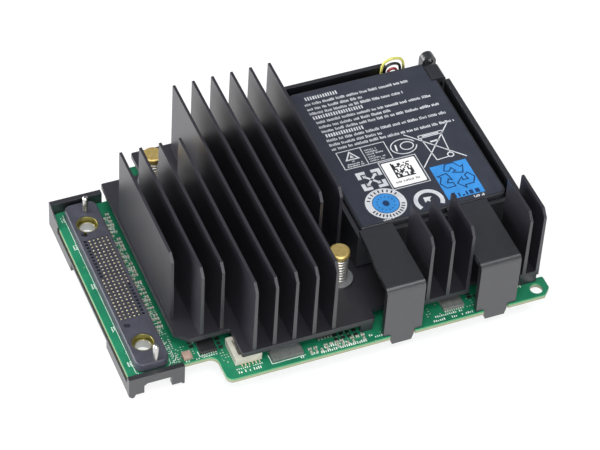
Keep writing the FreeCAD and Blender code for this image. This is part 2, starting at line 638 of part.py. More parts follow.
def heatsink():
    right = FIN_LAST + FIN_THICK / 2 + PLATE_EDGE
    pair_l = PAIR_FIN_FIRST - FIN_THICK / 2 - PAIR_MARGIN
    pieces = [slab(plate_outline(right, pair_l), PLATE_Z, PLATE_TOP)]
    for index in range(FIN_COUNT):
        back = FIN_BACK_SHORT if index < SHORT_BACK_FINS else FIN_BACK
        pieces.append(fin(FIN_FIRST + index * FIN_PITCH, fin_front(index), back, FIN_TOP))
    small = [SMALL_FIN_FIRST + index * SMALL_FIN_PITCH for index in range(SMALL_FIN_COUNT)]
    for x in small + [PAIR_FIN_FIRST, PAIR_FIN_FIRST + PAIR_FIN_PITCH]:
        pieces.append(fin(x, SMALL_FIN_FRONT, SMALL_FIN_BACK, SMALL_FIN_TOP))
    for _, (x, y) in SCREWS:
        pieces.append(drum(x, y, PLATE_Z, PLATE_TOP + BOSS_TALL, BOSS_R))
    foot_right = right - FOOT_INSET
    foot_y = PLATE_FRONT + FIN_FROM_FRONT
    pieces.append(box(foot_right - FOOT_WIDE, foot_right, foot_y, foot_y + FOOT_LONG, 0, PLATE_Z))
    heel_y = HEEL_BACK - FOOT_INSET
    heel_l = max(HEEL_X, PLATE_LEFT) + HEEL_MARGIN
    pieces.append(box(heel_l, heel_l + FOOT_WIDE, heel_y - FOOT_LONG, heel_y, 0, PLATE_Z))
    foot_y = SMALL_FIN_FRONT + FIN_FROM_FRONT
    pieces.append(box(pair_l, BOARD_RIGHT - EAR_RELIEF_DEPTH, foot_y, foot_y + FOOT_LONG, 0, PLATE_Z))
    body = fuse_all(pieces)
    hole_r = SCREW_SHANK_R + SCREW_HOLE_FIT
    holes = [drum(x, y, PLATE_Z - 1, PLATE_TOP + BOSS_TALL + 1, hole_r) for _, (x, y) in SCREWS]
    return body.cut(Part.makeCompound(holes))


# ---- spring screws -------------------------------------------------------
def spring_screw(x, y):
    under_head = SCREW_HEAD_TOP - SCREW_HEAD_TALL
    tip = BOARD_Z0 - NUT_TALL
    head = drum(x, y, under_head, SCREW_HEAD_TOP, SCREW_HEAD_R)
    rim = [e for e in head.Edges if e.BoundBox.ZMin > SCREW_HEAD_TOP - 0.01]
    head = head.makeChamfer(SCREW_HEAD_BEVEL, rim)
    return head.fuse(drum(x, y, tip, under_head, SCREW_SHANK_R)).removeSplitter()


def screw_spring(x, y):
    """Coil that pushes the head up off the heatsink's boss."""
    low = PLATE_TOP + BOSS_TALL + SPRING_WIRE_R + SPRING_SEAT
    high = SCREW_HEAD_TOP - SCREW_HEAD_TALL - SPRING_WIRE_R - SPRING_SEAT
    steps = round((high - low) / SPRING_PITCH * SPRING_STEPS)
    route = []
    for k in range(steps + 1):
        turn = 2 * math.pi * k / SPRING_STEPS
        rise = low + (high - low) * k / steps
        route.append(Vector(x + SPRING_MEAN_R * math.cos(turn), y + SPRING_MEAN_R * math.sin(turn), rise))
    section = wire_section(x + SPRING_MEAN_R, y, low, SPRING_WIRE_R)
    return Part.makePolygon(route).makePipeShell([section.OuterWire], True, False, 1)


def screw_nut(x, y):
    r = NUT_FLATS / 2 / math.cos(math.radians(30))
    angles = [math.radians(60 * k) for k in range(6)]
    corners = [(x + r * math.cos(a), y + r * math.sin(a), 0) for a in angles]
    nut = slab(corners, BOARD_Z0 - NUT_TALL, BOARD_Z0)
    return nut.cut(drum(x, y, BOARD_Z0 - NUT_TALL - 1, 1, SCREW_SHANK_R + NUT_FIT))


# ---- chips and pads ------------------------------------------------------
def processor_chip():
    x, y = PROCESSOR_CENTRE
    half = PROCESSOR_SIDE / 2
    lid = PROCESSOR_LID_SIDE / 2
    base = box(x - half, x + half, y - half, y + half, 0, PROCESSOR_BASE)
    cover = soft_box(x - lid, x + lid, y - lid, y + lid, PROCESSOR_BASE, PROCESSOR_LID_TOP, 1.0)
    return fuse_all([base, cover])


def processor_pad():
    x, y = PROCESSOR_CENTRE
    half = PROCESSOR_LID_SIDE / 2 - PAD_INSET
    return box(x - half, x + half, y - half, y + half, PROCESSOR_LID_TOP, PLATE_Z)


def memory_corners():
    """Front left corner of the lone memory chip, then of the bank of four."""
    first_x = BATTERY_LEFT + MEMORY_FROM_BATTERY
    first_y = BATTERY_FRONT + MEMORY_FROM_STRAP
    corners = [(MEMORY_LEFT, MEMORY_FRONT)]
    for row in range(2):
        for col in range(2):
            corners.append((first_x + col * MEMORY_PITCH_X, first_y + row * MEMORY_PITCH_Y))
    return corners


def memory_chip(x, y):
    chip = box(x, x + MEMORY_WIDE, y, y + MEMORY_LONG, 0, MEMORY_TALL)
    mark = drum(x + 1.2, y + 1.2, MEMORY_TALL - 0.1, MEMORY_TALL + 1, 0.4)
    return chip.cut(mark)


def memory_pad(x, y):
    right = x + MEMORY_WIDE - PAD_INSET
    return box(x + PAD_INSET, right, y + PAD_SETBACK, y + MEMORY_LONG - PAD_INSET, MEMORY_TALL, PLATE_Z)


# ---- battery -------------------------------------------------------------
def battery_outline(inset):
    """The pack's rounded outline; a positive inset gives the label's."""
    left = BATTERY_LEFT + inset
    right = BATTERY_RIGHT - inset
    front = BATTERY_FRONT + inset
    back = BATTERY_BACK - inset
    r = BATTERY_CORNER_R - inset
    return [(left, front, BATTERY_SHARP_R), (right, front, r), (right, back, r), (left, back, r)]


def latch_rest(margin):
    """Block that clears the latch finger in the pack's back right corner."""
    x0 = BATTERY_RIGHT - LATCH_OVERLAP - margin
    y0 = LATCH_FRONT - margin
    return box(x0, BATTERY_RIGHT + 1, y0, BATTERY_BACK + 1, BATTERY_TOP - BATTERY_REST_DEEP, BATTERY_TOP + 1)


def battery_pack():
    pack = slab(battery_outline(0), BATTERY_Z0, BATTERY_TOP)
    rims = [e for e in pack.Edges if e.BoundBox.ZMin > BATTERY_TOP - 0.01]
    return pack.makeFillet(BATTERY_EDGE_R, rims).cut(latch_rest(LATCH_GAP))


def battery_label():
    sheet = slab(battery_outline(LABEL_INSET), BATTERY_TOP, BATTERY_TOP + LABEL_THICK)
    return sheet.cut(latch_rest(LATCH_GAP + LABEL_CLEAR))


def code_sticker():
    x = BATTERY_LEFT + STICKER_FROM_LEFT
    y = BATTERY_FRONT + STICKER_FROM_FRONT
    half_x = STICKER_WIDE / 2
    half_y = STICKER_LONG / 2
    z0 = BATTERY_TOP + LABEL_THICK
    return soft_box(x - half_x, x + half_x, y - half_y, y + half_y, z0, z0 + STICKER_THICK, STICKER_R)


# ---- battery cradle ------------------------------------------------------
def front_leg(low, high):
    """Upright leg under a strap, with the snap hook that passes the board's notch."""
    y0 = LEG_FRONT
    y1 = LEG_FRONT + LEG_THICK
    leg = box(low, high, y0, y1, 0, BATTERY_TOP)
    return leg.fuse(hook((low + high) / 2, y0, y1, 1))


def hook(centre, y_out, y_in, inward):
    """Tapered tongue through the board with a barb that catches its underside."""
    half = HOOK_WIDE / 2
    tip = half - HOOK_TAPER
    low = -HOOK_DROP
    root = HOOK_CATCH
    points = [(centre - half, root), (centre - half, BOARD_Z0), (centre - tip, low)]
    points += [(centre + tip, low), (centre + half, BOARD_Z0), (centre + half, root)]
    tongue = side_profile(points, "y", min(y_out, y_in), max(y_out, y_in))
    reach = y_in + inward * HOOK_REACH
    catch = BOARD_Z0 - HOOK_UNDER
    barb = [(y_out, catch), (reach, catch), (reach, catch - HOOK_CATCH), (y_in, low), (y_out, low)]
    return tongue.fuse(side_profile(barb, "x", centre - tip, centre + tip))


def strap(low, high, flare):
    z0 = BATTERY_TOP - STRAP_THICK
    y1 = BATTERY_FRONT - CRADLE_SIDE_GAP
    corners = [(low, LEG_FRONT, 0), (high, LEG_FRONT, 0), (high, y1, 0), (low + flare, y1, 0)]
    return slab(corners, z0, BATTERY_TOP)


def latch():
    """Springy arm on the right wall whose finger holds the battery down."""
    low = BATTERY_TOP - BATTERY_REST_DEEP + LATCH_GAP
    top = BATTERY_TOP + LABEL_THICK
    tip_x = BATTERY_RIGHT - LATCH_OVERLAP
    side = BOARD_RIGHT - LATCH_INSET
    points = [(tip_x, low), (tip_x, top), (side - LATCH_BEVEL, top), (side, top - LATCH_BEVEL)]
    points += [(side, CRADLE_FLOOR_Z), (CRADLE_RIGHT_IN, CRADLE_FLOOR_Z), (CRADLE_RIGHT_IN, low)]
    return side_profile(points, "y", LATCH_FRONT, LATCH_FRONT + LATCH_LONG)


def lead_loop():
    """Post behind the battery that ends in an eye for tying the leads."""
    x = BOARD_RIGHT - LOOP_FROM_RIGHT
    z = BATTERY_TOP - LOOP_LOW
    y1 = CRADLE_BACK - LOOP_FROM_BACK
    y0 = y1 - LOOP_THICK
    post = box(x - LOOP_R, x + LOOP_R, y0, y1, CRADLE_FLOOR_Z, z)
    eye = Part.makeCylinder(LOOP_R, LOOP_THICK, Vector(x, y0, z), Vector(0, 1, 0))
    bore = Part.makeCylinder(LOOP_BORE_R, 2 * LOOP_THICK, Vector(x, y0 - LOOP_THICK / 2, z), Vector(0, 1, 0))
    return post.fuse(eye).cut(bore)


def battery_cradle():
    floor_z1 = CRADLE_FLOOR_Z + CRADLE_FLOOR
    left_in = BATTERY_LEFT - CRADLE_SIDE_GAP
    right_out = BOARD_RIGHT
    front_in = BATTERY_FRONT - CRADLE_SIDE_GAP
    back_in = CRADLE_BACK - CRADLE_WALL
    pocket = BATTERY_BACK + CRADLE_POCKET
    wall_l = left_in + CRADLE_BACK_START
    wall_r = BATTERY_RIGHT - CRADLE_BACK_END
    loop_l = right_out - 2 * LOOP_FROM_RIGHT - LOOP_LEDGE
    side_top = BATTERY_TOP - CRADLE_SIDE_LOW
    back_top = BATTERY_TOP - CRADLE_BACK_LOW
    front_top = BATTERY_TOP - STRAP_THICK
    slit = LATCH_FRONT - LATCH_SLIT
    pieces = [box(CRADLE_LEFT, right_out, CRADLE_FRONT, pocket, CRADLE_FLOOR_Z, floor_z1)]
    pieces.append(box(CRADLE_LEFT, wall_r, CRADLE_FRONT, CRADLE_BACK, CRADLE_FLOOR_Z, floor_z1))
    pieces.append(box(loop_l, right_out, CRADLE_FRONT, CRADLE_BACK, CRADLE_FLOOR_Z, floor_z1))
    pieces.append(box(CRADLE_LEFT, left_in, CRADLE_FRONT, CRADLE_BACK, CRADLE_FLOOR_Z, side_top))
    pieces.append(box(CRADLE_LEFT, right_out, CRADLE_FRONT, front_in, CRADLE_FLOOR_Z, front_top))
    pieces.append(box(CRADLE_RIGHT_IN, right_out, CRADLE_FRONT, slit, 0, BATTERY_TOP))
    pieces.append(box(wall_l, wall_r, back_in, CRADLE_BACK, 0, back_top))
    pieces.append(latch())
    pieces.append(lead_loop())
    for x in BACK_HOOKS:
        y_out = BOARD_BACK - LEG_FRONT
        pieces.append(hook(x, CRADLE_BACK - CRADLE_BACK_OUT, y_out - LEG_THICK, -1))
    for number, (low, high) in enumerate(LEGS):
        pieces.append(strap(low, high, STRAP_FLARE if number == 0 else 0))
        pieces.append(front_leg(low, high))
    body = fuse_all(pieces)
    rounds = []
    for edge in body.Edges:
        b = edge.BoundBox
        level = abs(b.ZMin - BATTERY_TOP) < 0.01 and b.ZLength < 0.01
        if level and b.YMax < LEG_FRONT + 0.01 and b.XLength > LEG_THICK:
            rounds.append(edge)
    return body.makeFillet(STRAP_EDGE_R, rounds)


# ---- leads ---------------------------------------------------------------
def lead(order):
    """Insulated wire: out of the battery's back, up, over an arch and down to the plug."""
    inset = order * LEAD_STEP
    x0 = BATTERY_RIGHT - LEAD_FROM_RIGHT + inset
    r = LEAD_ARCH_R - inset
    x1 = x0 + 2 * r
    y0 = BATTERY_BACK
    y1 = lead_plane()
    z0 = BATTERY_TOP - LEAD_START_LOW
    z1 = BATTERY_TOP - LEAD_ARCH_LOW - inset
    bend = LEAD_BEND_R
    s = math.sqrt(0.5)
    route = [Part.makeLine(Vector(x0, y0, z0), Vector(x0, y1 - bend, z0))]
    knee = Vector(x0, y1 - bend + bend * s, z0 + bend - bend * s)
    route.append(Part.Arc(Vector(x0, y1 - bend, z0), knee, Vector(x0, y1, z0 + bend)).toShape())
    route.append(Part.makeLine(Vector(x0, y1, z0 + bend), Vector(x0, y1, z1)))
    crown = Vector(x0 + r, y1, z1 + r)
    route.append(Part.Arc(Vector(x0, y1, z1), crown, Vector(x1, y1, z1)).toShape())
    route.append(Part.makeLine(Vector(x1, y1, z1), Vector(x1, y1, PLUG_TOP - LEAD_IN_PLUG)))
    return Part.Wire(route).makePipe(wire_section(x0, y0, z0, LEAD_R))


def lead_plane():
    """The upright plane behind the battery in which the leads arch over."""
    return BATTERY_BACK + LEAD_RUN + LEAD_BEND_R


def plug_centre():
    x = BATTERY_RIGHT - LEAD_FROM_RIGHT + 2 * LEAD_ARCH_R - LEAD_STEP
    return x, lead_plane()


def battery_plug(leads):
    x, y = plug_centre()
    wide = PLUG_WIDE / 2
    thick = PLUG_DEEP / 2
    half = wide - SOCKET_WALL - PLUG_FIT
    deep = thick - SOCKET_WALL - PLUG_FIT
    body = box(x - half, x + half, y - deep, y + deep, PLUG_LOW, PLUG_TOP)
    collar = box(x - wide, x + wide, y - thick, y + thick, SOCKET_TALL, PLUG_TOP - PLUG_NECK)
    return fuse_all([body, collar]).cut(Part.makeCompound(leads))


def battery_socket():
    x, y = plug_centre()
    wide = PLUG_WIDE / 2
    thick = PLUG_DEEP / 2
    half = wide - SOCKET_WALL
    deep = thick - SOCKET_WALL
    outer = box(x - wide, x + wide, y - thick, y + thick, 0, SOCKET_TALL)
    return outer.cut(box(x - half, x + half, y - deep, y + deep, PLUG_LOW, SOCKET_TALL + 1))


# ---- other parts on the board --------------------------------------------
def front_header():
    """Low right-angle header with a row of contacts in its front face."""
    x0 = HEADER_LEFT
    x1 = x0 + HEADER_WIDE
    y0 = HEADER_FRONT
    y1 = y0 + HEADER_LONG
    wall = HEADER_END_WALL
    body = box(x0, x1, y0, y1, 0, HEADER_TALL)
    slot = box(x0 + wall, x1 - HEADER_SIDE_WALL, y0 + wall, y1 - wall, HEADER_FLOOR, HEADER_TALL + 1)
    return body.cut(slot)


def header_contacts():
    span = (HEADER_PINS - 1) * HEADER_PITCH
    first = HEADER_LEFT + HEADER_END_WALL + (HEADER_WIDE - HEADER_END_WALL - HEADER_SIDE_WALL - span) / 2
    half = HEADER_PIN_WIDE / 2
    y1 = HEADER_FRONT
    y0 = y1 - HEADER_PIN_LONG
    pins = []
    for k in range(HEADER_PINS):
        x = first + k * HEADER_PITCH
        pins.append(box(x - half, x + half, y0, y1, 0, HEADER_PIN_THICK))
    return Part.makeCompound(pins)


def flat_chip(x, y, size):
    wide, deep, tall = size
    chip = box(x, x + wide, y, y + deep, 0, tall)
    rims = [e for e in chip.Edges if e.BoundBox.ZMin > tall - 0.01]
    return chip.makeChamfer(CHIP_BEVEL, rims)


def capacitor_sites():
    """Middle of each small capacitor and whether its long side lies along Y."""
    first_x = CONN_RIGHT + STRIP_FROM_CONN
    first_y = CONN_FRONT + STRIP_FROM_FRONT
    rows = int((CONN_BACK - STRIP_FROM_BACK - first_y) / STRIP_PITCH) + 1
    for row in range(rows):
        for col in range(2):
            if (3 * row + 5 * col) % 7 < 5:
                yield first_x + col * STRIP_COLUMN, first_y + row * STRIP_PITCH, False
    first_x = MEMORY_RIGHT + EDGE_FROM_MEMORY
    count = int((LEG_LEFT - EDGE_FROM_LEG - first_x) / EDGE_PITCH) + 1
    for k in range(count):
        for row, y in enumerate(EDGE_ROWS):
            if (k + 2 * row) % 5 != 4:
                yield first_x + k * EDGE_PITCH, y, row == 0


def capacitor(x, y, along_y, z0, z1):
    half_x = (CAP_WIDE if along_y else CAP_LONG) / 2
    half_y = (CAP_LONG if along_y else CAP_WIDE) / 2
    return box(x - half_x, x + half_x, y - half_y, y + half_y, z0, z1)


def ceramic_capacitors():
    return Part.makeCompound([capacitor(x, y, turn, 0, CAP_TALL) for x, y, turn in capacitor_sites()])


def underside_capacitors():
    """Decoupling capacitors on the far side of the board, under the processor."""
    cx, cy = PROCESSOR_CENTRE
    middle = (UNDER_COUNT - 1) / 2
    parts = []
    for row in range(UNDER_COUNT):
        for col in range(UNDER_COUNT):
            x = cx + (col - middle) * UNDER_PITCH
            y = cy + (row - middle) * UNDER_PITCH
            if (row + col) % 2 == 0:
                parts.append(capacitor(x, y, row % 2 == 0, BOARD_Z0 - CAP_TALL, BOARD_Z0))
    return Part.makeCompound(parts)


def main():
    put("circuit_board", circuit_board())
    put("mezzanine_connector", mezzanine_connector())
    put("connector_pins", connector_pins())
    for name, y in BUSHINGS:
        put("bushing_" + name, bushing(y))
    for name, y in GUIDES:
        put("guide_pin_" + name, guide_pin(y))
    put("carrier_frame", carrier_frame())
    put("heatsink", heatsink())
    put("spring_screws", Part.makeCompound([spring_screw(x, y) for _, (x, y) in SCREWS]))
    for name, (x, y) in SCREWS:
        put("screw_spring_" + name, screw_spring(x, y))
    put("screw_nuts", Part.makeCompound([screw_nut(x, y) for _, (x, y) in SCREWS]))
    put("processor_chip", processor_chip())
    put("processor_pad", processor_pad())
    for number, (x, y) in enumerate(memory_corners(), 1):
        put("memory_chip_%d" % number, memory_chip(x, y))
        put("memory_pad_%d" % number, memory_pad(x, y))
    put("battery_pack", battery_pack())
    put("battery_label", battery_label())
    put("code_sticker", code_sticker())
    put("battery_cradle", battery_cradle())
    leads = [lead(order) for order in range(3)]
    for colour, shape in zip(("yellow", "black", "red"), leads):
        put("battery_lead_" + colour, shape)
    put("battery_plug", battery_plug(leads))
    put("battery_socket", battery_socket())
    put("front_header", front_header())
    put("header_contacts", header_contacts())
    put("flash_chip", flat_chip(SMALL_FIN_FIRST + FLASH_FROM_FIN, FLASH_FRONT, FLASH_SIZE))
    put("logic_chip", flat_chip(CONN_RIGHT + LOGIC_FROM_CONN, LOGIC_FRONT, LOGIC_SIZE))
    put("regulator_chip", flat_chip(MEMORY_RIGHT + REGULATOR_FROM_MEMORY, REGULATOR_FRONT, REGULATOR_SIZE))
    put("power_inductor", flat_chip(CONN_RIGHT + COIL_FROM_CONN, COIL_FRONT, COIL_SIZE))
    put("ceramic_capacitors", ceramic_capacitors())
    put("underside_capacitors", underside_capacitors())


main()
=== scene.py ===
import math
import random

import bmesh
import bpy
from mathutils import Matrix, Vector


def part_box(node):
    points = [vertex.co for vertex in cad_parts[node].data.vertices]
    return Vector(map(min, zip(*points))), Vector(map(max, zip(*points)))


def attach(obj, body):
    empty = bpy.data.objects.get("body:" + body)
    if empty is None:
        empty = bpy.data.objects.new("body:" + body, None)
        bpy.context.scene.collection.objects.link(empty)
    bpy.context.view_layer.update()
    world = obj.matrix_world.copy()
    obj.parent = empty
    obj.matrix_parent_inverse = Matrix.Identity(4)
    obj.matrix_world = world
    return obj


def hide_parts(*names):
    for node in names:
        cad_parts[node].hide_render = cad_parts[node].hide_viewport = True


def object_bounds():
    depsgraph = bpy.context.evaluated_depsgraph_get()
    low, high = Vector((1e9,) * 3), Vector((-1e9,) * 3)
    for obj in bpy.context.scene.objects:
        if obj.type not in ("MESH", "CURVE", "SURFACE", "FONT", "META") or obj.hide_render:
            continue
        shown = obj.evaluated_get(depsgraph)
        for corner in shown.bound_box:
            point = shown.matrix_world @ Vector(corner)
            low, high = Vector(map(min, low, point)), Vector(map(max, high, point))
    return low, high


# RAID controller card: the looks of its board, finned heatsink, clip-on battery
# and edge connector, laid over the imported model.  Sizes in the code are
# millimetres unless a line says otherwise; MM turns them into metres.

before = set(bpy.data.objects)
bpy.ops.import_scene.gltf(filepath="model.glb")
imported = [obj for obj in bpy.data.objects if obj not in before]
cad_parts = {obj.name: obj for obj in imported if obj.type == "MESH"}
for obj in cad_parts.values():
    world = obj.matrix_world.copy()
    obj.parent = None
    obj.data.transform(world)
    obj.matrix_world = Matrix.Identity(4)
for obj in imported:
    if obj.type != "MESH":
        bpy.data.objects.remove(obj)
cad_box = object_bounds()
MM = 0.001
RELIEF = 0.02 * MM                   # height of a fine grain or of tool marks
WELD = 0.002 * MM                    # corners nearer than this are one
FLAT_ANGLE = math.radians(0.6)       # faces nearer to level than this are one face
BREAK_ANGLE = math.radians(32)       # edges sharper than this are broken
CREASE_ANGLE = math.radians(28)      # edges of turned pieces sharper than this stay crisp
MITRE_LIMIT = 0.4                    # keeps a line's corner from growing a long point
scene = bpy.context.scene


# ---- colour and nodes ------------------------------------------------------
def linear(code):
    """An sRGB hex colour as linear red, green, blue and alpha."""
    parts = [int(code[i:i + 2], 16) / 255 for i in (1, 3, 5)]
    return [c / 12.92 if c <= 0.04045 else ((c + 0.055) / 1.055) ** 2.4 for c in parts] + [1.0]


def per(size):
    """Texture scale that gives a pattern of this many millimetres."""
    return 1 / (size * MM)


def feed(tree, node, links):
    """Link inputs of a node, each from an output or from another node's first live output."""
    for key, source in links.items():
        if isinstance(source, bpy.types.Node):
            source = next(output for output in source.outputs if output.enabled)
        tree.links.new(source, node.inputs[key])


def add(tree, kind, values=None, links=None, stops=None, **settings):
    """Add one node with its settings, input values, incoming links and ramp stops."""
    node = tree.nodes.new(kind)
    for key, value in settings.items():
        setattr(node, key, value)
    for key, value in (values or {}).items():
        node.inputs[key].default_value = value
    feed(tree, node, links or {})
    for number, (place, code) in enumerate(stops or []):
        ramp = node.color_ramp.elements
        stop = ramp[number] if number < len(ramp) else ramp.new(place)
        stop.position = place
        stop.color = linear(code)
    return node


def start_material(name, roughness, ior=1.5, metallic=0.0):
    """A material with its main shader and its object coordinates ready to link."""
    material = bpy.data.materials.new(name)
    material.use_nodes = True
    tree = material.node_tree
    shader = tree.nodes["Principled BSDF"]
    shader.inputs["Roughness"].default_value = roughness
    shader.inputs["IOR"].default_value = ior
    shader.inputs["Metallic"].default_value = metallic
    place = add(tree, "ShaderNodeTexCoord").outputs["Object"]
    return material, tree, shader, place


def plain_finish(name, codes, roughness, grain, ior=1.5, metallic=0.0, bump=0.1):
    """Moulded, printed or plated surface: mottled between two colours, with uneven gloss
    and a fine grain, whose width is given in millimetres."""
    material, tree, shader, place = start_material(name, roughness, ior, metallic)
    mottle = add(tree, "ShaderNodeTexNoise", {"Scale": per(grain * 9), "Detail": 4}, {"Vector": place})
    tone = add(tree, "ShaderNodeValToRGB", links={"Fac": mottle}, stops=[(0.32, codes[0]), (0.68, codes[1])])
    fine = add(tree, "ShaderNodeTexNoise", {"Scale": per(grain), "Detail": 3}, {"Vector": place})
    spread = 0.08
    gloss = add(tree, "ShaderNodeMapRange", {"To Min": roughness - spread, "To Max": roughness + spread},
                {"Value": fine})
    relief = add(tree, "ShaderNodeBump", {"Strength": bump, "Distance": RELIEF}, {"Height": fine})
    feed(tree, shader, {"Base Color": tone, "Roughness": gloss, "Normal": relief})
    return material


# ---- materials -------------------------------------------------------------
BOARD_THICK = 1.57


def anodised_aluminium():
    """Extruded aluminium, black anodised: near black, with a satin sheen and faint
    draw lines along the fins, so a face seen at a low angle turns light grey.
    The gloss is that of the film of aluminium oxide on the metal."""
    material, tree, shader, place = start_material("black_anodised_aluminium", 0.38, 1.77)
    across, along = per(0.5), per(30)
    lines = add(tree, "ShaderNodeMapping", {"Scale": (across, along, across)}, {"Vector": place})
    drawn = add(tree, "ShaderNodeTexNoise", {"Scale": 1.0, "Detail": 3}, {"Vector": lines})
    cloud = add(tree, "ShaderNodeTexNoise", {"Scale": per(14), "Detail": 2}, {"Vector": place})
    dye = add(tree, "ShaderNodeValToRGB", links={"Fac": cloud}, stops=[(0.35, "#19181f"), (0.65, "#1f1d25")])
    gloss = add(tree, "ShaderNodeMapRange", {"To Min": 0.34, "To Max": 0.44}, {"Value": drawn})
    relief = add(tree, "ShaderNodeBump", {"Strength": 0.08, "Distance": RELIEF}, {"Height": drawn})
    feed(tree, shader, {"Base Color": dye, "Roughness": gloss, "Normal": relief})
    return material


def solder_mask():
    """Glass epoxy board under green solder mask: buried copper shows as faint paler runs
    that change direction from field to field, vias as small pale dots, and the sawn edge
    as layers of bare glass epoxy, whose pale beige and light green are partly its own colour
    and partly a painted highlight along the lit edge.  The runs are wider than real ones,
    so that they show."""
    material, tree, shader, place = start_material("green_solder_mask", 0.38)
    pour = add(tree, "ShaderNodeTexNoise", {"Scale": per(11), "Detail": 2}, {"Vector": place})
    mask = add(tree, "ShaderNodeValToRGB", links={"Fac": pour}, stops=[(0.4, "#0e6a4a"), (0.6, "#167553")])
    fields = add(tree, "ShaderNodeTexVoronoi", {"Scale": per(5.5)}, {"Vector": place}, distance="MANHATTAN")
    chance = add(tree, "ShaderNodeSeparateColor", links={"Color": fields.outputs["Color"]})
    straight, diagonal = 0.314, 0.628    # scales that set bands one unit apart along an axis
    along = add(tree, "ShaderNodeTexWave", {"Scale": straight * per(0.62)}, {"Vector": place},
                bands_direction="X")
    slanted = add(tree, "ShaderNodeTexWave", {"Scale": diagonal * per(0.8)}, {"Vector": place},
                  bands_direction="DIAGONAL")
    turn = add(tree, "ShaderNodeMath", {1: 0.55}, {0: chance.outputs["Red"]}, operation="GREATER_THAN")
    bands = add(tree, "ShaderNodeMix", links={"Factor": turn, "A": along.outputs["Fac"],
                                              "B": slanted.outputs["Fac"]})
    thin = add(tree, "ShaderNodeMapRange", {"From Min": 0.72, "From Max": 0.88}, {"Value": bands})
    routed = add(tree, "ShaderNodeMapRange", {"From Min": 0.5, "From Max": 0.52, "To Max": 0.55},
                 {"Value": chance.outputs["Green"]})
    runs = add(tree, "ShaderNodeMath", links={0: thin, 1: routed}, operation="MULTIPLY")
    traced = add(tree, "ShaderNodeMix", {"B": linear("#2b8a60")},
                 {"A": mask, "Factor": runs}, data_type="RGBA")
    cells = add(tree, "ShaderNodeTexVoronoi", {"Scale": per(2.7), "Randomness": 1.0}, {"Vector": place})
    dot = add(tree, "ShaderNodeMapRange", {"From Min": 0.06, "From Max": 0.09, "To Min": 0.6, "To Max": 0.0},
              {"Value": cells.outputs["Distance"]})
    drilled = add(tree, "ShaderNodeMix", {"B": linear("#9fb79c")},
                  {"A": traced, "Factor": dot}, data_type="RGBA")
    way = add(tree, "ShaderNodeNewGeometry")
    facing = add(tree, "ShaderNodeSeparateXYZ", links={"Vector": way.outputs["Normal"]})
    level = add(tree, "ShaderNodeMath", links={0: facing.outputs["Z"]}, operation="ABSOLUTE")
    edge = add(tree, "ShaderNodeMapRange", {"From Min": 0.3, "From Max": 0.6, "To Min": 1.0, "To Max": 0.0},
               {"Value": level})
    height = add(tree, "ShaderNodeSeparateXYZ", links={"Vector": place})
    layers = add(tree, "ShaderNodeMapRange", {"From Min": -BOARD_THICK * MM, "From Max": 0.0},
                 {"Value": height.outputs["Z"]})
    # Layers up the sawn edge: the pale beige and light green are partly the board's own colour and partly a
    # painted highlight along the lit edge.
    laminate_and_highlight = add(tree, "ShaderNodeValToRGB", links={"Fac": layers},
                   stops=[(0.0, "#7f8f5a"), (0.3, "#8c8d76"), (0.55, "#93927a"), (0.72, "#4f9060"),
                          (1.0, "#2c8a58")])
    board = add(tree, "ShaderNodeMix", links={"A": drilled, "B": laminate_and_highlight, "Factor": edge}, data_type="RGBA")
    relief = add(tree, "ShaderNodeBump", {"Strength": 0.3, "Distance": 0.03 * MM}, {"Height": runs})
    feed(tree, shader, {"Base Color": board, "Normal": relief})
    return material


def bushing_metal():
    """Turned brass, oxidised to olive, with its lower bore plated: a grey ring shows
    deep in the hole under the brass wall."""
    material, tree, shader, place = start_material("bushing_brass", 0.42, metallic=1.0)
    around, up = per(40), per(0.12)
    rings = add(tree, "ShaderNodeMapping", {"Scale": (around, around, up)}, {"Vector": place})
    turned_marks = add(tree, "ShaderNodeTexNoise", {"Scale": 1.0, "Detail": 2}, {"Vector": rings})
    tarnish = add(tree, "ShaderNodeTexNoise", {"Scale": per(1.5), "Detail": 3}, {"Vector": place})
    olive = add(tree, "ShaderNodeValToRGB", links={"Fac": tarnish},
                stops=[(0.35, "#8a8450"), (0.65, "#a39c62")])
    height = add(tree, "ShaderNodeSeparateXYZ", links={"Vector": place})
    upper = add(tree, "ShaderNodeMapRange", {"From Min": 1.22 * MM, "From Max": 1.3 * MM},
                {"Value": height.outputs["Z"]})
    colour = add(tree, "ShaderNodeMix", {"A": linear("#b9bab6")},
                 {"B": olive, "Factor": upper}, data_type="RGBA")
    relief = add(tree, "ShaderNodeBump", {"Strength": 0.25, "Distance": RELIEF}, {"Height": turned_marks})
    feed(tree, shader, {"Base Color": colour, "Normal": relief})
    return material


ANODISED = anodised_aluminium()
MASK = solder_mask()
BUSHING = bushing_metal()
# Glass filled nylon, moulded: near black with a satin sheen and a fine eroded grain.
NYLON = plain_finish("glass_filled_nylon", ("#17181d", "#1d1e23"), 0.34, 0.25, ior=1.9, bump=0.2)
# Liquid crystal polymer, moulded: violet grey, matte, with pale flow marks.
POLYMER = plain_finish("connector_polymer", ("#34353f", "#3d3e48"), 0.48, 0.3, bump=0.15)
# Gold flashed phosphor bronze contacts: pale, bright and warm.
CONTACT = plain_finish("gold_flashed_bronze", ("#e2d6b4", "#f6ecd0"), 0.42, 0.2, metallic=1.0, bump=0.05)
# Turned brass of the screw heads, left bare: pale gold and uneven in its gloss.
BRASS = plain_finish("turned_brass", ("#d8bc70", "#e8d08c"), 0.5, 0.12, metallic=1.0, bump=0.2)
# Steel of pins and nuts, ground and plated: bright with soft reflections.
STEEL = plain_finish("plated_steel", ("#bdbdbb", "#d5d5d2"), 0.24, 0.15, metallic=1.0, bump=0.1)
# Drawn spring wire, nickel plated: brighter than the pins, with broad soft highlights.
SPRING = plain_finish("nickel_spring_wire", ("#d2d2ce", "#ecebe6"), 0.42, 0.1, metallic=1.0, bump=0.05)
# Epoxy moulding compound on chips: charcoal with a fine gritty face.
EPOXY = plain_finish("epoxy_moulding", ("#161718", "#1e1f20"), 0.5, 0.12, bump=0.3)
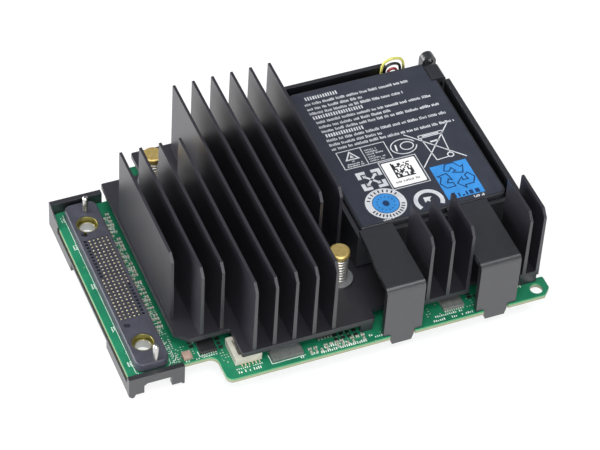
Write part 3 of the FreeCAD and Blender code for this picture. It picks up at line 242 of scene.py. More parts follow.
# Laser marked epoxy of the memory and flash chips: bleached to a light grey.
GREY_EPOXY = plain_finish("grey_epoxy_moulding", ("#585b58", "#656864"), 0.5, 0.12, bump=0.3)
# Nickel plated copper lid: dull silver.
LID = plain_finish("nickel_lid", ("#9d9d9b", "#b0b0ad"), 0.38, 0.3, metallic=1.0)
# Silicone gap filler: soft blue grey with crumbs of ceramic in it.
GAP_PAD = plain_finish("silicone_gap_pad", ("#8b97a3", "#a3adb6"), 0.62, 0.3, ior=1.41, bump=0.4)
# Shrink film round the cells: black, smooth and slightly wavy.
WRAP = plain_finish("shrink_film", ("#222327", "#2a2b30"), 0.3, 2.0, bump=0.1)
# Polyester label film, printed slate all over: satin, with a faint mottle in the ink.
LABEL = plain_finish("slate_label_film", ("#2c303a", "#323641"), 0.4, 0.5, bump=0.06)
# Coated white paper.
PAPER = plain_finish("coated_paper", ("#f0f0ee", "#f7f7f5"), 0.45, 0.2, bump=0.08)
# Screen printed inks on the label: even, and as satin as the film.
PALE_INK = plain_finish("pale_label_ink", ("#c6c9cd", "#d6d8db"), 0.42, 0.3, bump=0.05)
BLUE_INK = plain_finish("blue_label_ink", ("#3084ca", "#3b8ed6"), 0.42, 0.3, bump=0.05)
DEEP_BLUE_INK = plain_finish("deep_blue_label_ink", ("#0f2f55", "#153b66"), 0.42, 0.3, bump=0.05)
BLACK_INK = plain_finish("black_label_ink", ("#15161a", "#1d1e22"), 0.42, 0.3, bump=0.05)
# Epoxy legend ink on the board: chalky white, thin at its edges.
LEGEND = plain_finish("white_legend_ink", ("#d3ddd4", "#eef2ee"), 0.6, 0.2, bump=0.2)
# Tin solder on pads and chip ends: dull silver with small facets.
SOLDER = plain_finish("tin_solder", ("#d9dad4", "#f2f2ec"), 0.58, 0.25, metallic=1.0, bump=0.3)
# Polyvinyl chloride insulation on the leads: soft satin.
YELLOW_PVC = plain_finish("yellow_pvc", ("#b9b658", "#c6c368"), 0.38, 0.4, ior=1.53)
BLACK_PVC = plain_finish("black_pvc", ("#17171a", "#1f1f22"), 0.38, 0.4, ior=1.53)
RED_PVC = plain_finish("red_pvc", ("#a8383c", "#b8464a"), 0.38, 0.4, ior=1.53)
# Nylon plug and header, undyed: cream, slightly waxy.
CREAM = plain_finish("cream_nylon", ("#aaa89b", "#bab8ab"), 0.42, 0.3, bump=0.15)
# Pressed ferrite: grey brown and grainy.
FERRITE = plain_finish("pressed_ferrite", ("#8a7468", "#a08a7c"), 0.6, 0.15, bump=0.4)
# Fired ceramic of the small capacitors: tan.
CERAMIC = plain_finish("fired_ceramic", ("#98917f", "#b1aa98"), 0.42, 0.2, bump=0.15)
# Bare aluminium, faced off on the mill: light grey with a fine roughness.
MILLED = plain_finish("milled_aluminium", ("#9b9da0", "#aeb0b3"), 0.55, 0.2, metallic=1.0, bump=0.3)


# ---- mesh helpers ----------------------------------------------------------
def shape(name, mesh, material, replaces=()):
    """Put a finished mesh in the scene as a piece that rides on the card."""
    mesh.materials.clear()
    mesh.materials.append(material)
    piece = bpy.data.objects.new(name, mesh)
    scene.collection.objects.link(piece)
    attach(piece, "root")
    if replaces:
        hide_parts(*replaces)
    return piece


def applied(mesh, modifiers):
    """The mesh with these modifiers worked into it."""
    holder = bpy.data.objects.new("holder", mesh)
    scene.collection.objects.link(holder)
    for kind, settings in modifiers:
        modifier = holder.modifiers.new(kind.lower(), kind)
        for key, value in settings.items():
            if key.startswith("Socket_"):
                modifier[key] = value
            else:
                setattr(modifier, key, value)
    holder.update_tag()
    bpy.context.view_layer.update()
    result = bpy.data.meshes.new_from_object(holder.evaluated_get(bpy.context.evaluated_depsgraph_get()))
    bpy.data.objects.remove(holder)
    return result


def softened(node, width, material, segments=2):
    """Copy of a CAD node with its triangles merged and its sharp edges broken."""
    form = bmesh.new()
    form.from_mesh(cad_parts[node].data)
    bmesh.ops.remove_doubles(form, verts=form.verts, dist=WELD)
    bmesh.ops.dissolve_limit(form, angle_limit=FLAT_ANGLE, verts=form.verts, edges=form.edges)
    mesh = bpy.data.meshes.new(node + "_form")
    form.to_mesh(mesh)
    form.free()
    for face in mesh.polygons:
        face.use_smooth = True
    bevel = {"width": width * MM, "segments": segments, "limit_method": "ANGLE",
             "angle_limit": BREAK_ANGLE, "harden_normals": True, "use_clamp_overlap": True}
    mesh = applied(mesh, [("BEVEL", bevel), ("WEIGHTED_NORMAL", {"keep_sharp": True})])
    return shape(node + "_finish", mesh, material, [node])


def gathered(name, meshes, material):
    """Several meshes joined into one piece."""
    whole = bmesh.new()
    for mesh in meshes:
        whole.from_mesh(mesh)
    result = bpy.data.meshes.new(name)
    whole.to_mesh(result)
    whole.free()
    return shape(name, result, material)


def meshed(form, name):
    """The bmesh as a mesh with its faces turned outward."""
    bmesh.ops.recalc_face_normals(form, faces=form.faces)
    mesh = bpy.data.meshes.new(name)
    form.to_mesh(mesh)
    form.free()
    return mesh


def plate(points, low, thick):
    """Thin flat prism on a closed outline of points."""
    form = bmesh.new()
    ring = [form.verts.new((x * MM, y * MM, low * MM)) for x, y in points]
    base = form.faces.new(ring)
    top = bmesh.ops.extrude_face_region(form, geom=[base])
    lifted = [part for part in top["geom"] if isinstance(part, bmesh.types.BMVert)]
    bmesh.ops.translate(form, verts=lifted, vec=(0, 0, thick * MM))
    return meshed(form, "plate")


def corners(x0, y0, x1, y1):
    """The four corners of a rectangle, in turn."""
    return [(x0, y0), (x1, y0), (x1, y1), (x0, y1)]


def ribbon(points, wide, low, thick, closed=False):
    """Flat line of one width along a path, mitred at its corners."""
    path = [Vector(point) for point in points]
    last = len(path) - 1
    form = bmesh.new()
    rims = []
    for k, here in enumerate(path):
        before = path[k - 1] if closed or k > 0 else 2 * here - path[1]
        after = path[(k + 1) % len(path)] if closed or k < last else 2 * here - before
        one = (here - before).normalized()
        mean = (one + (after - here).normalized()).normalized()
        side = Vector((-mean.y, mean.x)) * wide / 2 / max(mean.dot(one), MITRE_LIMIT)
        high = low + thick
        section = ((here - side, low), (here + side, low), (here + side, high), (here - side, high))
        rims.append([form.verts.new((spot.x * MM, spot.y * MM, z * MM)) for spot, z in section])
    for k in range(len(path) if closed else last):
        one, two = rims[k], rims[(k + 1) % len(path)]
        for i in range(4):
            j = (i + 1) % 4
            form.faces.new((one[i], two[i], two[j], one[j]))
    if not closed:
        form.faces.new(rims[0])
        form.faces.new(rims[last])
    return meshed(form, "ribbon")


def arc(x, y, r, start=0, sweep=360, squash=1.0, steps=40):
    """Points along part of a circle or ellipse; a whole turn leaves out the repeated end."""
    count = steps if sweep >= 360 else steps + 1
    turns = [math.radians(start + sweep * k / steps) for k in range(count)]
    return [(x + r * math.cos(a), y + squash * r * math.sin(a)) for a in turns]


def turned(profile, x, y, steps=40):
    """Solid of revolution about an upright axis through (x, y), from radius and height pairs."""
    turns = [2 * math.pi * k / steps for k in range(steps)]
    form = bmesh.new()
    rows = []
    for r, z in profile:
        spots = [(x + r * math.cos(a), y + r * math.sin(a)) for a in turns]
        rows.append([form.verts.new((across * MM, along * MM, z * MM)) for across, along in spots])
    for lower, upper in zip(rows, rows[1:]):
        for k in range(steps):
            j = (k + 1) % steps
            form.faces.new((lower[k], lower[j], upper[j], upper[k]))
    bmesh.ops.remove_doubles(form, verts=form.verts, dist=0.001 * MM)
    mesh = meshed(form, "turned")
    for face in mesh.polygons:
        face.use_smooth = True
    mesh.set_sharp_from_angle(angle=CREASE_ANGLE)
    return mesh


# ---- repeated blocks (geometry nodes) --------------------------------------
def block_tree():
    """Rows and columns of small blocks, each trimmed by chance and some left out."""
    tree = bpy.data.node_groups.new("rows_of_blocks", "GeometryNodeTree")
    face = tree.interface
    wanted = [("Columns", "Int", 4), ("Rows", "Int", 1), ("Pitch", "Vector", (0.001, 0.001, 0)),
              ("Block", "Vector", (0.0005, 0.0005, 0.0001)), ("Trim", "Vector", (0, 0, 0)),
              ("Kept", "Float", 1.0), ("Seed", "Int", 1), ("Finish", "Material", None)]
    names = {}
    for name, kind, value in wanted:
        socket = face.new_socket(name, in_out="INPUT", socket_type="NodeSocket" + kind)
        if value is not None:
            socket.default_value = value
        names[name] = socket.identifier
    face.new_socket("Blocks", in_out="OUTPUT", socket_type="NodeSocketGeometry")
    given = add(tree, "NodeGroupInput").outputs
    total = add(tree, "ShaderNodeMath", links={0: given["Columns"], 1: given["Rows"]}, operation="MULTIPLY")
    index = add(tree, "GeometryNodeInputIndex")
    column = add(tree, "ShaderNodeMath", links={0: index, 1: given["Columns"]}, operation="MODULO")
    share = add(tree, "ShaderNodeMath", links={0: index, 1: given["Columns"]}, operation="DIVIDE")
    row = add(tree, "ShaderNodeMath", links={0: share}, operation="FLOOR")
    grid = add(tree, "ShaderNodeCombineXYZ", links={"X": column, "Y": row})
    place = add(tree, "ShaderNodeVectorMath", links={0: grid, 1: given["Pitch"]}, operation="MULTIPLY")
    points = add(tree, "GeometryNodePoints", links={"Count": total, "Position": place})
    chance = add(tree, "FunctionNodeRandomValue", links={"Probability": given["Kept"], "Seed": given["Seed"]},
                 data_type="BOOLEAN")
    least = add(tree, "ShaderNodeVectorMath", {0: (1, 1, 1)}, {1: given["Trim"]}, operation="SUBTRACT")
    size = add(tree, "FunctionNodeRandomValue", {1: (1, 1, 1)}, {0: least, "Seed": given["Seed"]},
               data_type="FLOAT_VECTOR")
    half = add(tree, "ShaderNodeVectorMath", {"Scale": 0.5}, {0: given["Block"]}, operation="SCALE")
    block = add(tree, "GeometryNodeMeshCube", links={"Size": given["Block"]})
    seated = add(tree, "GeometryNodeTransform", links={"Geometry": block, "Translation": half})
    copies = add(tree, "GeometryNodeInstanceOnPoints",
                 links={"Points": points, "Instance": seated, "Selection": chance, "Scale": size})
    solid = add(tree, "GeometryNodeRealizeInstances", links={"Geometry": copies})
    done = add(tree, "GeometryNodeSetMaterial", links={"Geometry": solid, "Material": given["Finish"]})
    add(tree, "NodeGroupOutput", links={"Blocks": done})
    return tree, names


BLOCKS, BLOCK_INPUTS = block_tree()


def blocks(columns, rows, pitch, block, at, material, trim=(0, 0, 0), kept=1.0, seed=1, turn=0):
    """Mesh of a grid of blocks whose first one has its low corner at a point."""
    given = {"Columns": columns, "Rows": rows, "Pitch": (pitch[0] * MM, pitch[1] * MM, 0.0),
             "Block": [side * MM for side in block], "Trim": trim, "Kept": kept, "Seed": seed,
             "Finish": material}
    settings = {"node_group": BLOCKS}
    settings.update({BLOCK_INPUTS[name]: value for name, value in given.items()})
    mesh = applied(bpy.data.meshes.new("seed"), [("NODES", settings)])
    spot = Matrix.Translation([value * MM for value in at])
    mesh.transform(spot @ Matrix.Rotation(math.radians(turn), 4, "Z"))
    return mesh


def spring_tree():
    """Coil of round wire."""
    tree = bpy.data.node_groups.new("coil_of_wire", "GeometryNodeTree")
    face = tree.interface
    names = {}
    for name, kind in (("Turns", "Float"), ("Radius", "Float"), ("Height", "Float"), ("Wire", "Float"),
                       ("Finish", "Material")):
        names[name] = face.new_socket(name, in_out="INPUT", socket_type="NodeSocket" + kind).identifier
    face.new_socket("Coil", in_out="OUTPUT", socket_type="NodeSocketGeometry")
    given = add(tree, "NodeGroupInput").outputs
    coil = add(tree, "GeometryNodeCurveSpiral", {"Resolution": 40},
               {"Rotations": given["Turns"], "Start Radius": given["Radius"], "End Radius": given["Radius"],
                "Height": given["Height"]})
    section = add(tree, "GeometryNodeCurvePrimitiveCircle", {"Resolution": 12}, {"Radius": given["Wire"]})
    wire = add(tree, "GeometryNodeCurveToMesh", {"Fill Caps": True},
               {"Curve": coil, "Profile Curve": section})
    smooth = add(tree, "GeometryNodeSetShadeSmooth", links={"Geometry": wire})
    solid = add(tree, "GeometryNodeRealizeInstances", links={"Geometry": smooth})
    done = add(tree, "GeometryNodeSetMaterial", links={"Geometry": solid, "Material": given["Finish"]})
    add(tree, "NodeGroupOutput", links={"Coil": done})
    return tree, names


COIL, COIL_INPUTS = spring_tree()


def millimetres(node):
    """Lowest and highest corner of a CAD node in millimetres."""
    low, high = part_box(node)
    return low / MM, high / MM


def upright(node):
    """Axis and radius of an upright round CAD node."""
    low, high = millimetres(node)
    return (low.x + high.x) / 2, (low.y + high.y) / 2, (high.x - low.x) / 2


# ---- CAD forms with broken edges -------------------------------------------
softened("heatsink", 0.12, ANODISED)
softened("battery_cradle", 0.18, NYLON)
softened("carrier_frame", 0.15, NYLON)
softened("circuit_board", 0.08, MASK, 1)
softened("mezzanine_connector", 0.07, POLYMER, 1)
softened("battery_pack", 0.12, WRAP)
softened("battery_label", 0.03, LABEL, 1)
softened("code_sticker", 0.02, PAPER, 1)
softened("battery_plug", 0.12, CREAM)
softened("battery_socket", 0.08, CREAM)
softened("front_header", 0.1, CREAM)
softened("spring_screws", 0.1, BRASS)
softened("screw_nuts", 0.15, STEEL)
softened("power_inductor", 0.15, FERRITE)
softened("header_contacts", 0.04, CONTACT, 1)
softened("connector_pins", 0.08, CONTACT, 1)
softened("processor_chip", 0.08, LID, 1)
for chip in ("logic_chip", "regulator_chip"):
    softened(chip, 0.06, EPOXY, 1)
for chip in ["flash_chip"] + ["memory_chip_%d" % k for k in range(1, 6)]:
    softened(chip, 0.06, GREY_EPOXY, 1)
for pad in ["processor_pad"] + ["memory_pad_%d" % k for k in range(1, 6)]:
    softened(pad, 0.1, GAP_PAD)
for caps in ("ceramic_capacitors", "underside_capacitors"):
    softened(caps, 0.04, CERAMIC, 1)


# ---- turned pieces, springs and leads --------------------------------------
def guide_pin(node):
    """Steel pin: a thin root inside the connector, a plain shank and a tapered nose."""
    low, high = millimetres(node)
    x, y, r = upright(node)
    root, seat = 0.6, 3.1
    tip = high.z
    profile = [(0, low.z), (root, low.z), (root, seat), (r, seat), (r, tip - 0.6), (r - 0.06, tip - 0.48),
               (r * 0.62, tip - 0.1), (r * 0.5, tip), (0, tip)]
    shape(node + "_finish", turned(profile, x, y), STEEL, [node])


def bushing(node):
    """Sleeve with a wide mouth, and a groove where the mouth meets the bore."""
    low, high = millimetres(node)
    x, y, r = upright(node)
    bore, mouth, groove = 2.2, 2.8, 0.16
    seat = high.z - 1.6
    lip = mouth + 0.06
    profile = [(bore, low.z), (r - 0.1, low.z), (r, low.z + 0.1), (r, high.z - 0.05), (r - 0.05, high.z),
               (lip, high.z), (mouth, high.z - 0.06), (mouth, seat + 0.22), (mouth + groove, seat + groove),
               (mouth + groove, seat), (bore + 0.08, seat), (bore, seat - 0.08), (bore, low.z)]
    shape(node + "_finish", turned(profile, x, y, 64), BUSHING, [node])


def screw_spring(node):
    """Coil spring round a screw's shank."""
    low, high = millimetres(node)
    x, y, r = upright(node)
    wire, pitch = 0.3, 1.05
    rise = high.z - low.z - 2 * wire
    given = {"Turns": rise / pitch, "Radius": (r - wire) * MM, "Height": rise * MM, "Wire": wire * MM,
             "Finish": SPRING}
    settings = {"node_group": COIL}
    settings.update({COIL_INPUTS[name]: value for name, value in given.items()})
    mesh = applied(bpy.data.meshes.new("seed"), [("NODES", settings)])
    mesh.transform(Matrix.Translation(Vector((x, y, low.z + wire)) * MM))
    shape(node + "_finish", mesh, SPRING, [node])


def battery_lead(node, material):
    """Insulated lead: out of the pack, up, over and down into the plug."""
    low, high = millimetres(node)
    r, outlet_below_top = 0.42, 6.0
    x0, x1 = low.x + r, high.x - r
    y0, y1 = low.y, high.y - r
    start = millimetres("battery_pack")[1].z - outlet_below_top
    top = high.z - r
    middle = (start + top) / 2
    route = [(x0, y0, start), (x0, y1, start), (x0, y1, middle), (x0, y1, top), (x1, y1, top),
             (x1, y1, middle), (x1, y1, low.z)]
    curve = bpy.data.curves.new(node, "CURVE")
    curve.dimensions = "3D"
    curve.bevel_depth = r * MM
    curve.bevel_resolution = 5
    curve.use_fill_caps = True
    line = curve.splines.new("NURBS")
    line.points.add(len(route) - 1)
    for point, spot in zip(line.points, route):
        point.co = (*[value * MM for value in spot], 1)
    line.order_u = 4
    line.use_endpoint_u = True
    line.resolution_u = 16
    holder = bpy.data.objects.new("holder", curve)
    scene.collection.objects.link(holder)
    bpy.context.view_layer.update()
    mesh = bpy.data.meshes.new_from_object(holder.evaluated_get(bpy.context.evaluated_depsgraph_get()))
    bpy.data.objects.remove(holder)
    shape(node + "_finish", mesh, material, [node])


for end in ("front", "back"):
    guide_pin("guide_pin_" + end)
    bushing("bushing_" + end)
    screw_spring("screw_spring_" + end)
battery_lead("battery_lead_yellow", YELLOW_PVC)
battery_lead("battery_lead_black", BLACK_PVC)
battery_lead("battery_lead_red", RED_PVC)


# ---- connector wells -------------------------------------------------------
def well_ribs():
    """Ribs between the columns, so that each contact stands in a square well."""
    low, high = millimetres("mezzanine_connector")
    pitch, well, deep = 1.27, 0.9, 0.8
    columns, rows = 5, 25
    side_wall, back_wall = 1.55, 15.1
    first = low.x + side_wall + well / 2
    start = high.y - back_wall - (rows - 1) * pitch - well / 2
    rib = (pitch - well, well, deep)
    ribs = blocks(columns, rows, (pitch, pitch), rib, (first, start, high.z - deep), POLYMER)
    shape("well_ribs", ribs, POLYMER)


well_ribs()


# ---- label print -----------------------------------------------------------
# Places on the label are measured from its front left corner, first to the right
# and then towards the back.
INK = 0.012
label_low, label_high = millimetres("battery_label")
LU, LV, LZ = *label_low.xy, label_high.z
DISC = (9.5, 6.25)                   # middle of the round mark
DISC_FIELD = 3.8                     # radius of its blue field


def words(u, v, length, tall, seed, bold=False, low=LZ, material=PALE_INK):
    """Line of print as a row of small upright blocks, with gaps between the words.
    A bold line is one long word of wider blocks."""
    pitch, wide, shortest = (0.78, 0.5, 0.12) if bold else (0.46, 0.31, 0.42)
    count = int(length / pitch)
    chance = random.Random(seed)
    block, trim = (wide, tall, INK), (0.3, shortest, 0)
    run = 0
    meshes = []
    while run < count:
        word = count if bold else min(chance.randint(3, 9), count - run)
        at = (LU + u + run * pitch, LV + v, low)
        meshes.append(blocks(word, 1, (pitch, 0), block, at, material, trim, seed=seed + run))
        run += word + 1
    return meshes


def line(points, wide, closed=False, low=LZ):
    return ribbon([(LU + u, LV + v) for u, v in points], wide, low, INK, closed)


def patch(points, low=LZ):
    return plate([(LU + u, LV + v) for u, v in points], low, INK)


def label_text():
    """Three paragraphs with a bold heading each."""
    paragraphs = [[(3.9, 51.6, 10.2), (2.9, 49.5, 32.2), (2.9, 47.5, 17.1), (2.9, 45.6, 29.2)],
                  [(3.2, 43.6, 15.8), (3.4, 41.7, 35.9), (3.4, 39.7, 22.1), (3.4, 37.8, 36.6)],
                  [(3.9, 35.7, 12.4), (3.4, 33.9, 37.1), (3.4, 32.0, 16.1), (3.4, 30.2, 38.1)]]
    seed = 20
    meshes = []
    for paragraph in paragraphs:
        for row, (u, v, length) in enumerate(paragraph):
            heading = row == 0
            meshes += words(u, v, length, 1.45 if heading else 1.15, seed, heading)
            seed += 1
    return meshes


def caution_box():
    """Outlined box in two halves: a triangle over small print, and six lines of small print."""
    left, front, right, back = 3.9, 22.0, 18.4, 29.0
    split, rule = 11.1, 0.24
    meshes = [line(corners(left, front, right, back), rule, True),
              line([(split, front), (split, back)], rule),
              line([(5.6, 25.3), (9.3, 25.3), (7.5, 28.2)], 0.42, True),
              patch([(6.9, 25.9), (8.1, 25.9), (7.5, 27.1)])]
    column = 11.9
    for u, v, length in ((7.0, 24.3, 1.2), (5.3, 23.3, 4.9), (5.0, 22.5, 5.4), (column, 27.2, 3.8),
                         (column, 26.3, 4.6), (column, 25.4, 5.1), (column, 24.4, 2.6), (column, 23.6, 5.1),
                         (column, 22.7, 5.0)):
        meshes += words(u, v, length, 0.55, int(v * 10))
    return meshes


def oval_mark():
    """Open oval round a smaller closed one, with a short bar at its left."""
    return [line(arc(23.1, 25.4, 3.8, 20, 330, 0.76), 0.3),
            line(arc(24.1, 25.4, 1.9, squash=0.8), 0.32, True),
            line([(20.6, 24.2), (21.0, 26.7)], 0.5)]


def crossed_bin():
    """Tapered bin with a lid, a wheel and two long crossing strokes."""
    outline, stroke = 0.3, 0.34
    return [line([(28.4, 26.8), (35.8, 26.9), (35.8, 27.9), (28.5, 27.8)], 0.26, True),
            line([(29.6, 27.35), (34.6, 27.4)], 0.4),
            line([(28.9, 26.7), (29.9, 17.3), (33.6, 17.5)], outline),
            line([(35.3, 26.8), (34.6, 19.0)], outline),
            line(arc(34.4, 18.1, 0.85), 0.36, True),
            line([(31.0, 24.6), (33.8, 24.7)], 0.6),
            line([(24.9, 29.7), (38.5, 16.0)], stroke),
            line([(38.4, 30.0), (25.2, 15.7)], stroke)]


def bracket_mark():
    """Four corner brackets round two crossing double arrows."""
    u, v = 9.4, 16.1
    end, reach = 0.9, 3.1
    corner, shaft = [(end, reach), (reach, reach), (reach, end)], [(0.3, 0.3), (1.7, 1.7)]
    head = [(2.1, 2.1), (0.9, 2.0), (2.0, 0.9)]
    meshes = []
    for a, b in ((1, 1), (-1, 1), (-1, -1), (1, -1)):
        paths = [[(u + a * x, v + b * y) for x, y in path] for path in (corner, shaft, head)]
        meshes += [line(paths[0], 1.1), line(paths[1], 0.7), patch(paths[2])]
    return meshes


def open_ring():
    """Thick open ring by the label's front edge, with a small notched patch inside."""
    return [line(arc(21.3, 3.3, 3.75, -34, 248), 1.25),
            patch([(20.1, 4.9), (22.6, 4.6), (21.6, 3.8), (22.0, 2.2), (20.9, 3.4), (20.0, 2.9)])]


def pale_print():
    """All print in pale ink: text, marks, the sticker's frame and the disc's ground."""
    meshes = label_text() + caution_box() + oval_mark() + crossed_bin() + bracket_mark() + open_ring()
    meshes += [line(corners(13.6, 10.4, 24.8, 21.5), 0.24, True), patch(arc(*DISC, 5.85))]
    return meshes + words(6.3, 0.12, 3.4, 0.6, 7) + words(33.8, 0.25, 3.4, 0.9, 8)


def blue_print():
    """Square field at the front right and the middle of the disc."""
    return [patch(corners(26.5, 1.6, 37.6, 15.1)), patch(arc(*DISC, DISC_FIELD), LZ + INK)]


def deep_blue_print():
    """Three bent arrows that chase each other over short thick bars, and the disc's eye."""
    low = LZ + 2 * INK
    middle, size = (32.1, 9.6), 1.2
    bent = [(-1.9, 2.5), (-0.9, 4.4), (1.2, 4.4), (2.3, 2.6), (3.1, 3.0), (2.2, 0.7), (-0.1, 1.4), (0.8, 1.8),
            (0.1, 3.0), (-0.8, 2.0)]
    meshes = []
    for turn in (0, 120, 240):
        a = math.radians(turn)
        along, across = size * math.cos(a), size * math.sin(a)
        path = [(middle[0] + x * along - y * across, middle[1] + x * across + y * along) for x, y in bent]
        meshes.append(line(path, 0.34, True, low))
    foot = 1.9
    bars = ((28.7, 0.5, 2.0), (29.9, 0.5, 1.5), (31.0, 0.7, 0.5), (32.2, 0.5, 1.5), (33.2, 1.2, 1.5),
            (35.0, 1.3, 1.5))
    for u, wide, tall in bars:
        meshes.append(patch(corners(u, foot, u + wide, foot + tall), low))
    meshes.append(line(arc(*DISC, DISC_FIELD), 0.2, True, low))
    meshes.append(patch(arc(*DISC, 0.95, squash=1.2, steps=16), low))
    for spot in arc(*DISC, 2.5, 0, 325, steps=13):
        meshes.append(patch(arc(*spot, 0.22, steps=6), low))
    return meshes


def dark_print():
    """Ticks round the disc in two arcs, and the sticker's square code and line of print."""
    inner, outer = 4.35, 5.35
    meshes = []
    for start, sweep, count in ((152, -118, 9), (205, 138, 13)):
        for a in (math.radians(start + sweep * k / (count - 1)) for k in range(count)):
            ends = [(DISC[0] + r * math.cos(a), DISC[1] + r * math.sin(a)) for r in (inner, outer)]
            meshes.append(line(ends, 0.42, False, LZ + INK))
    top = millimetres("code_sticker")[1].z
    cell, cells = 0.47, 11
    left, front = LU + 16.43, LV + 14.5
    code = (cell, cell, INK)
    field = (left + cell, front, top)
    meshes.append(blocks(cells, cells, (cell, cell), code, field, BLACK_INK, kept=0.52, seed=4))
    meshes.append(blocks(cells + 1, 1, (cell, 0), code, (left, front - cell, top), BLACK_INK))
    meshes.append(blocks(1, cells + 1, (0, cell), code, (left, front, top), BLACK_INK))
    return meshes + words(15.4, 12.3, 7.4, 0.85, 3, low=top, material=BLACK_INK)


gathered("label_print_pale", pale_print(), PALE_INK)
gathered("label_print_blue", blue_print(), BLUE_INK)
gathered("label_print_deep_blue", deep_blue_print(), DEEP_BLUE_INK)
gathered("label_print_black", dark_print(), BLACK_INK)


# ---- board print, pads and small parts --------------------------------------
# Places on the board are measured from its front left corner; its top is at height 0.
BU, BV = millimetres("circuit_board")[0].xy


def legend_line(points, wide):
    return ribbon([(BU + u, BV + v) for u, v in points], wide, 0, INK)


def ticks(u, v, columns, rows, pitch, mark, kept, seed, material=LEGEND, turn=0):
    """Grid of small upright print marks or pads, each trimmed by chance and some left out."""
    at = (BU + u, BV + v, 0)
    return blocks(columns, rows, pitch, (*mark, INK), at, material, (0.25, 0.4, 0), kept, seed, turn)


def board_legend():
    """Outline round the connector, marks beside the parts and rows of marks along the front."""
    fine, thin, plain = 0.12, 0.17, 0.2
    outline = [(2.42, 73.0), (2.42, 10.9), (3.2, 9.85), (11.2, 9.85), (12.35, 10.9), (12.45, 12.6)]
    meshes = [legend_line(outline, fine),
              legend_line([(12.6, 62.0), (14.3, 62.0), (14.3, 66.4), (13.2, 67.6)], thin)]
    for v in (13.4, 26.6, 43.4, 59.0, 70.3):
        meshes.append(ticks(2.3, v, 4, 2, (0.5, 0.62), (0.3, 0.42), 0.85, int(v), turn=90))
    meshes += [legend_line([(38.0, 4.75), (38.0, 1.5), (47.8, 1.6)], plain),
               legend_line([(20.5, 12.4), (20.5, 10.5), (22.4, 10.5)], thin),
               legend_line(arc(12.0, 13.4, 2.6, -75, 70), thin),
               legend_line(arc(20.4, 16.8, 1.1, 150, 120), thin)]
    small, tall = (0.32, 0.8), (0.34, 0.9)
    # Place, columns and rows, pitch, size of a mark, share that is kept, and seed.
    fields = ((52.0, 0.55, 22, 1, (0.62, -0.008), (0.34, 0.95), 0.9, 5),
              (53.5, 1.95, 11, 1, (0.62, -0.05), small, 0.9, 6),
              (28.4, 1.2, 11, 1, (0.62, 0), tall, 0.9, 8),
              (28.2, 2.6, 13, 1, (0.6, 0), (0.26, 0.5), 0.9, 9),
              (46.1, 0.75, 2, 1, (0.6, 0), small, 1.0, 12),
              (49.4, 0.9, 3, 1, (0.6, 0), small, 1.0, 13),
              (66.6, 1.9, 2, 1, (0.6, 0), small, 1.0, 14),
              (68.0, 1.0, 5, 1, (0.6, 0), small, 1.0, 15),
              (85.4, 0.7, 20, 1, (0.6, 0), (0.34, 0.75), 0.85, 16),
              (86.4, 2.1, 14, 1, (0.6, 0), (0.3, 0.7), 0.7, 17),
              (16.4, 9.75, 13, 1, (0.72, 0), (0.36, 0.5), 0.8, 18),
              (13.2, 10.6, 4, 6, (0.62, 0.85), (0.38, 0.3), 0.45, 19),
              (12.9, 62.4, 3, 6, (0.55, 0.62), (0.4, 0.22), 0.6, 20),
              (12.7, 14.2, 2, 22, (0.55, 1.9), (0.5, 0.3), 0.5, 21))
    meshes += [ticks(*field) for field in fields]
    return meshes + [legend_line([(112.0, 4.6), (113.4, 5.9)], 0.35),
                     legend_line([(112.1, 5.9), (113.4, 5.9), (113.4, 4.7)], 0.3)]


def bare_pads():
    """Tinned pads: three columns beside the connector, and scattered ones between the parts."""
    meshes = []
    for group, v in enumerate((15.6, 21.2, 26.9, 32.6, 38.3, 44.0, 49.7, 55.3)):
        meshes.append(ticks(12.75, v, 3, 6, (0.82, 0.66), (0.5, 0.34), 0.85, 30 + group, SOLDER))
    spread, small = (0.9, 0.9), (0.42, 0.36)
    # Place, columns and rows, pitch, size of a pad, share that is kept, and seed.
    fields = ((12.9, 63.2, 3, 6, (0.7, 0.7), (0.44, 0.3), 0.8, 40),
              (13.6, 10.4, 7, 7, (0.95, 0.8), (0.42, 0.34), 0.6, 41),
              (20.9, 9.9, 6, 1, (0.8, 0.7), (0.4, 0.3), 0.9, 42),
              (26.0, 6.0, 3, 6, (0.8, 0.9), (0.4, 0.36), 0.6, 43),
              (57.0, 2.9, 10, 4, (0.85, 0.9), (0.45, 0.36), 0.5, 44),
              (84.4, 3.0, 5, 5, spread, small, 0.5, 45),
              (96.2, 3.0, 6, 5, spread, small, 0.5, 46))
    return meshes + [ticks(*field, SOLDER) for field in fields]


def loose_parts(node):
    """Lowest and highest corners of every separate body of a CAD node, in millimetres."""
    form = bmesh.new()
    form.from_mesh(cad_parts[node].data)
    bmesh.ops.remove_doubles(form, verts=form.verts, dist=WELD)
    left = set(form.verts)
    spans = []
    while left:
        group = [left.pop()]
        for vert in group:
            near = {edge.other_vert(vert) for edge in vert.link_edges} & left
            left -= near
            group.extend(near)
        spots = [vert.co / MM for vert in group]
        spans.append([[pick(spot[i] for spot in spots) for i in range(3)] for pick in (min, max)])
    form.free()
    return spans


def metal_ends(node, above):
    """Solder caps over both ends of each ceramic chip, a little proud of it."""
    share, proud = 0.24, 0.02
    meshes = []
    for low, high in loose_parts(node):
        axis = 0 if high[0] - low[0] > high[1] - low[1] else 1
        length = (high[axis] - low[axis]) * share
        base = low[2] if above else low[2] - proud
        thick = high[2] - low[2] + proud
        for near in (True, False):
            a, b = list(low), list(high)
            if near:
                b[axis] = low[axis] + length
            else:
                a[axis] = high[axis] - length
            meshes.append(plate(corners(a[0] - proud, a[1] - proud, b[0] + proud, b[1] + proud), base, thick))
    return meshes


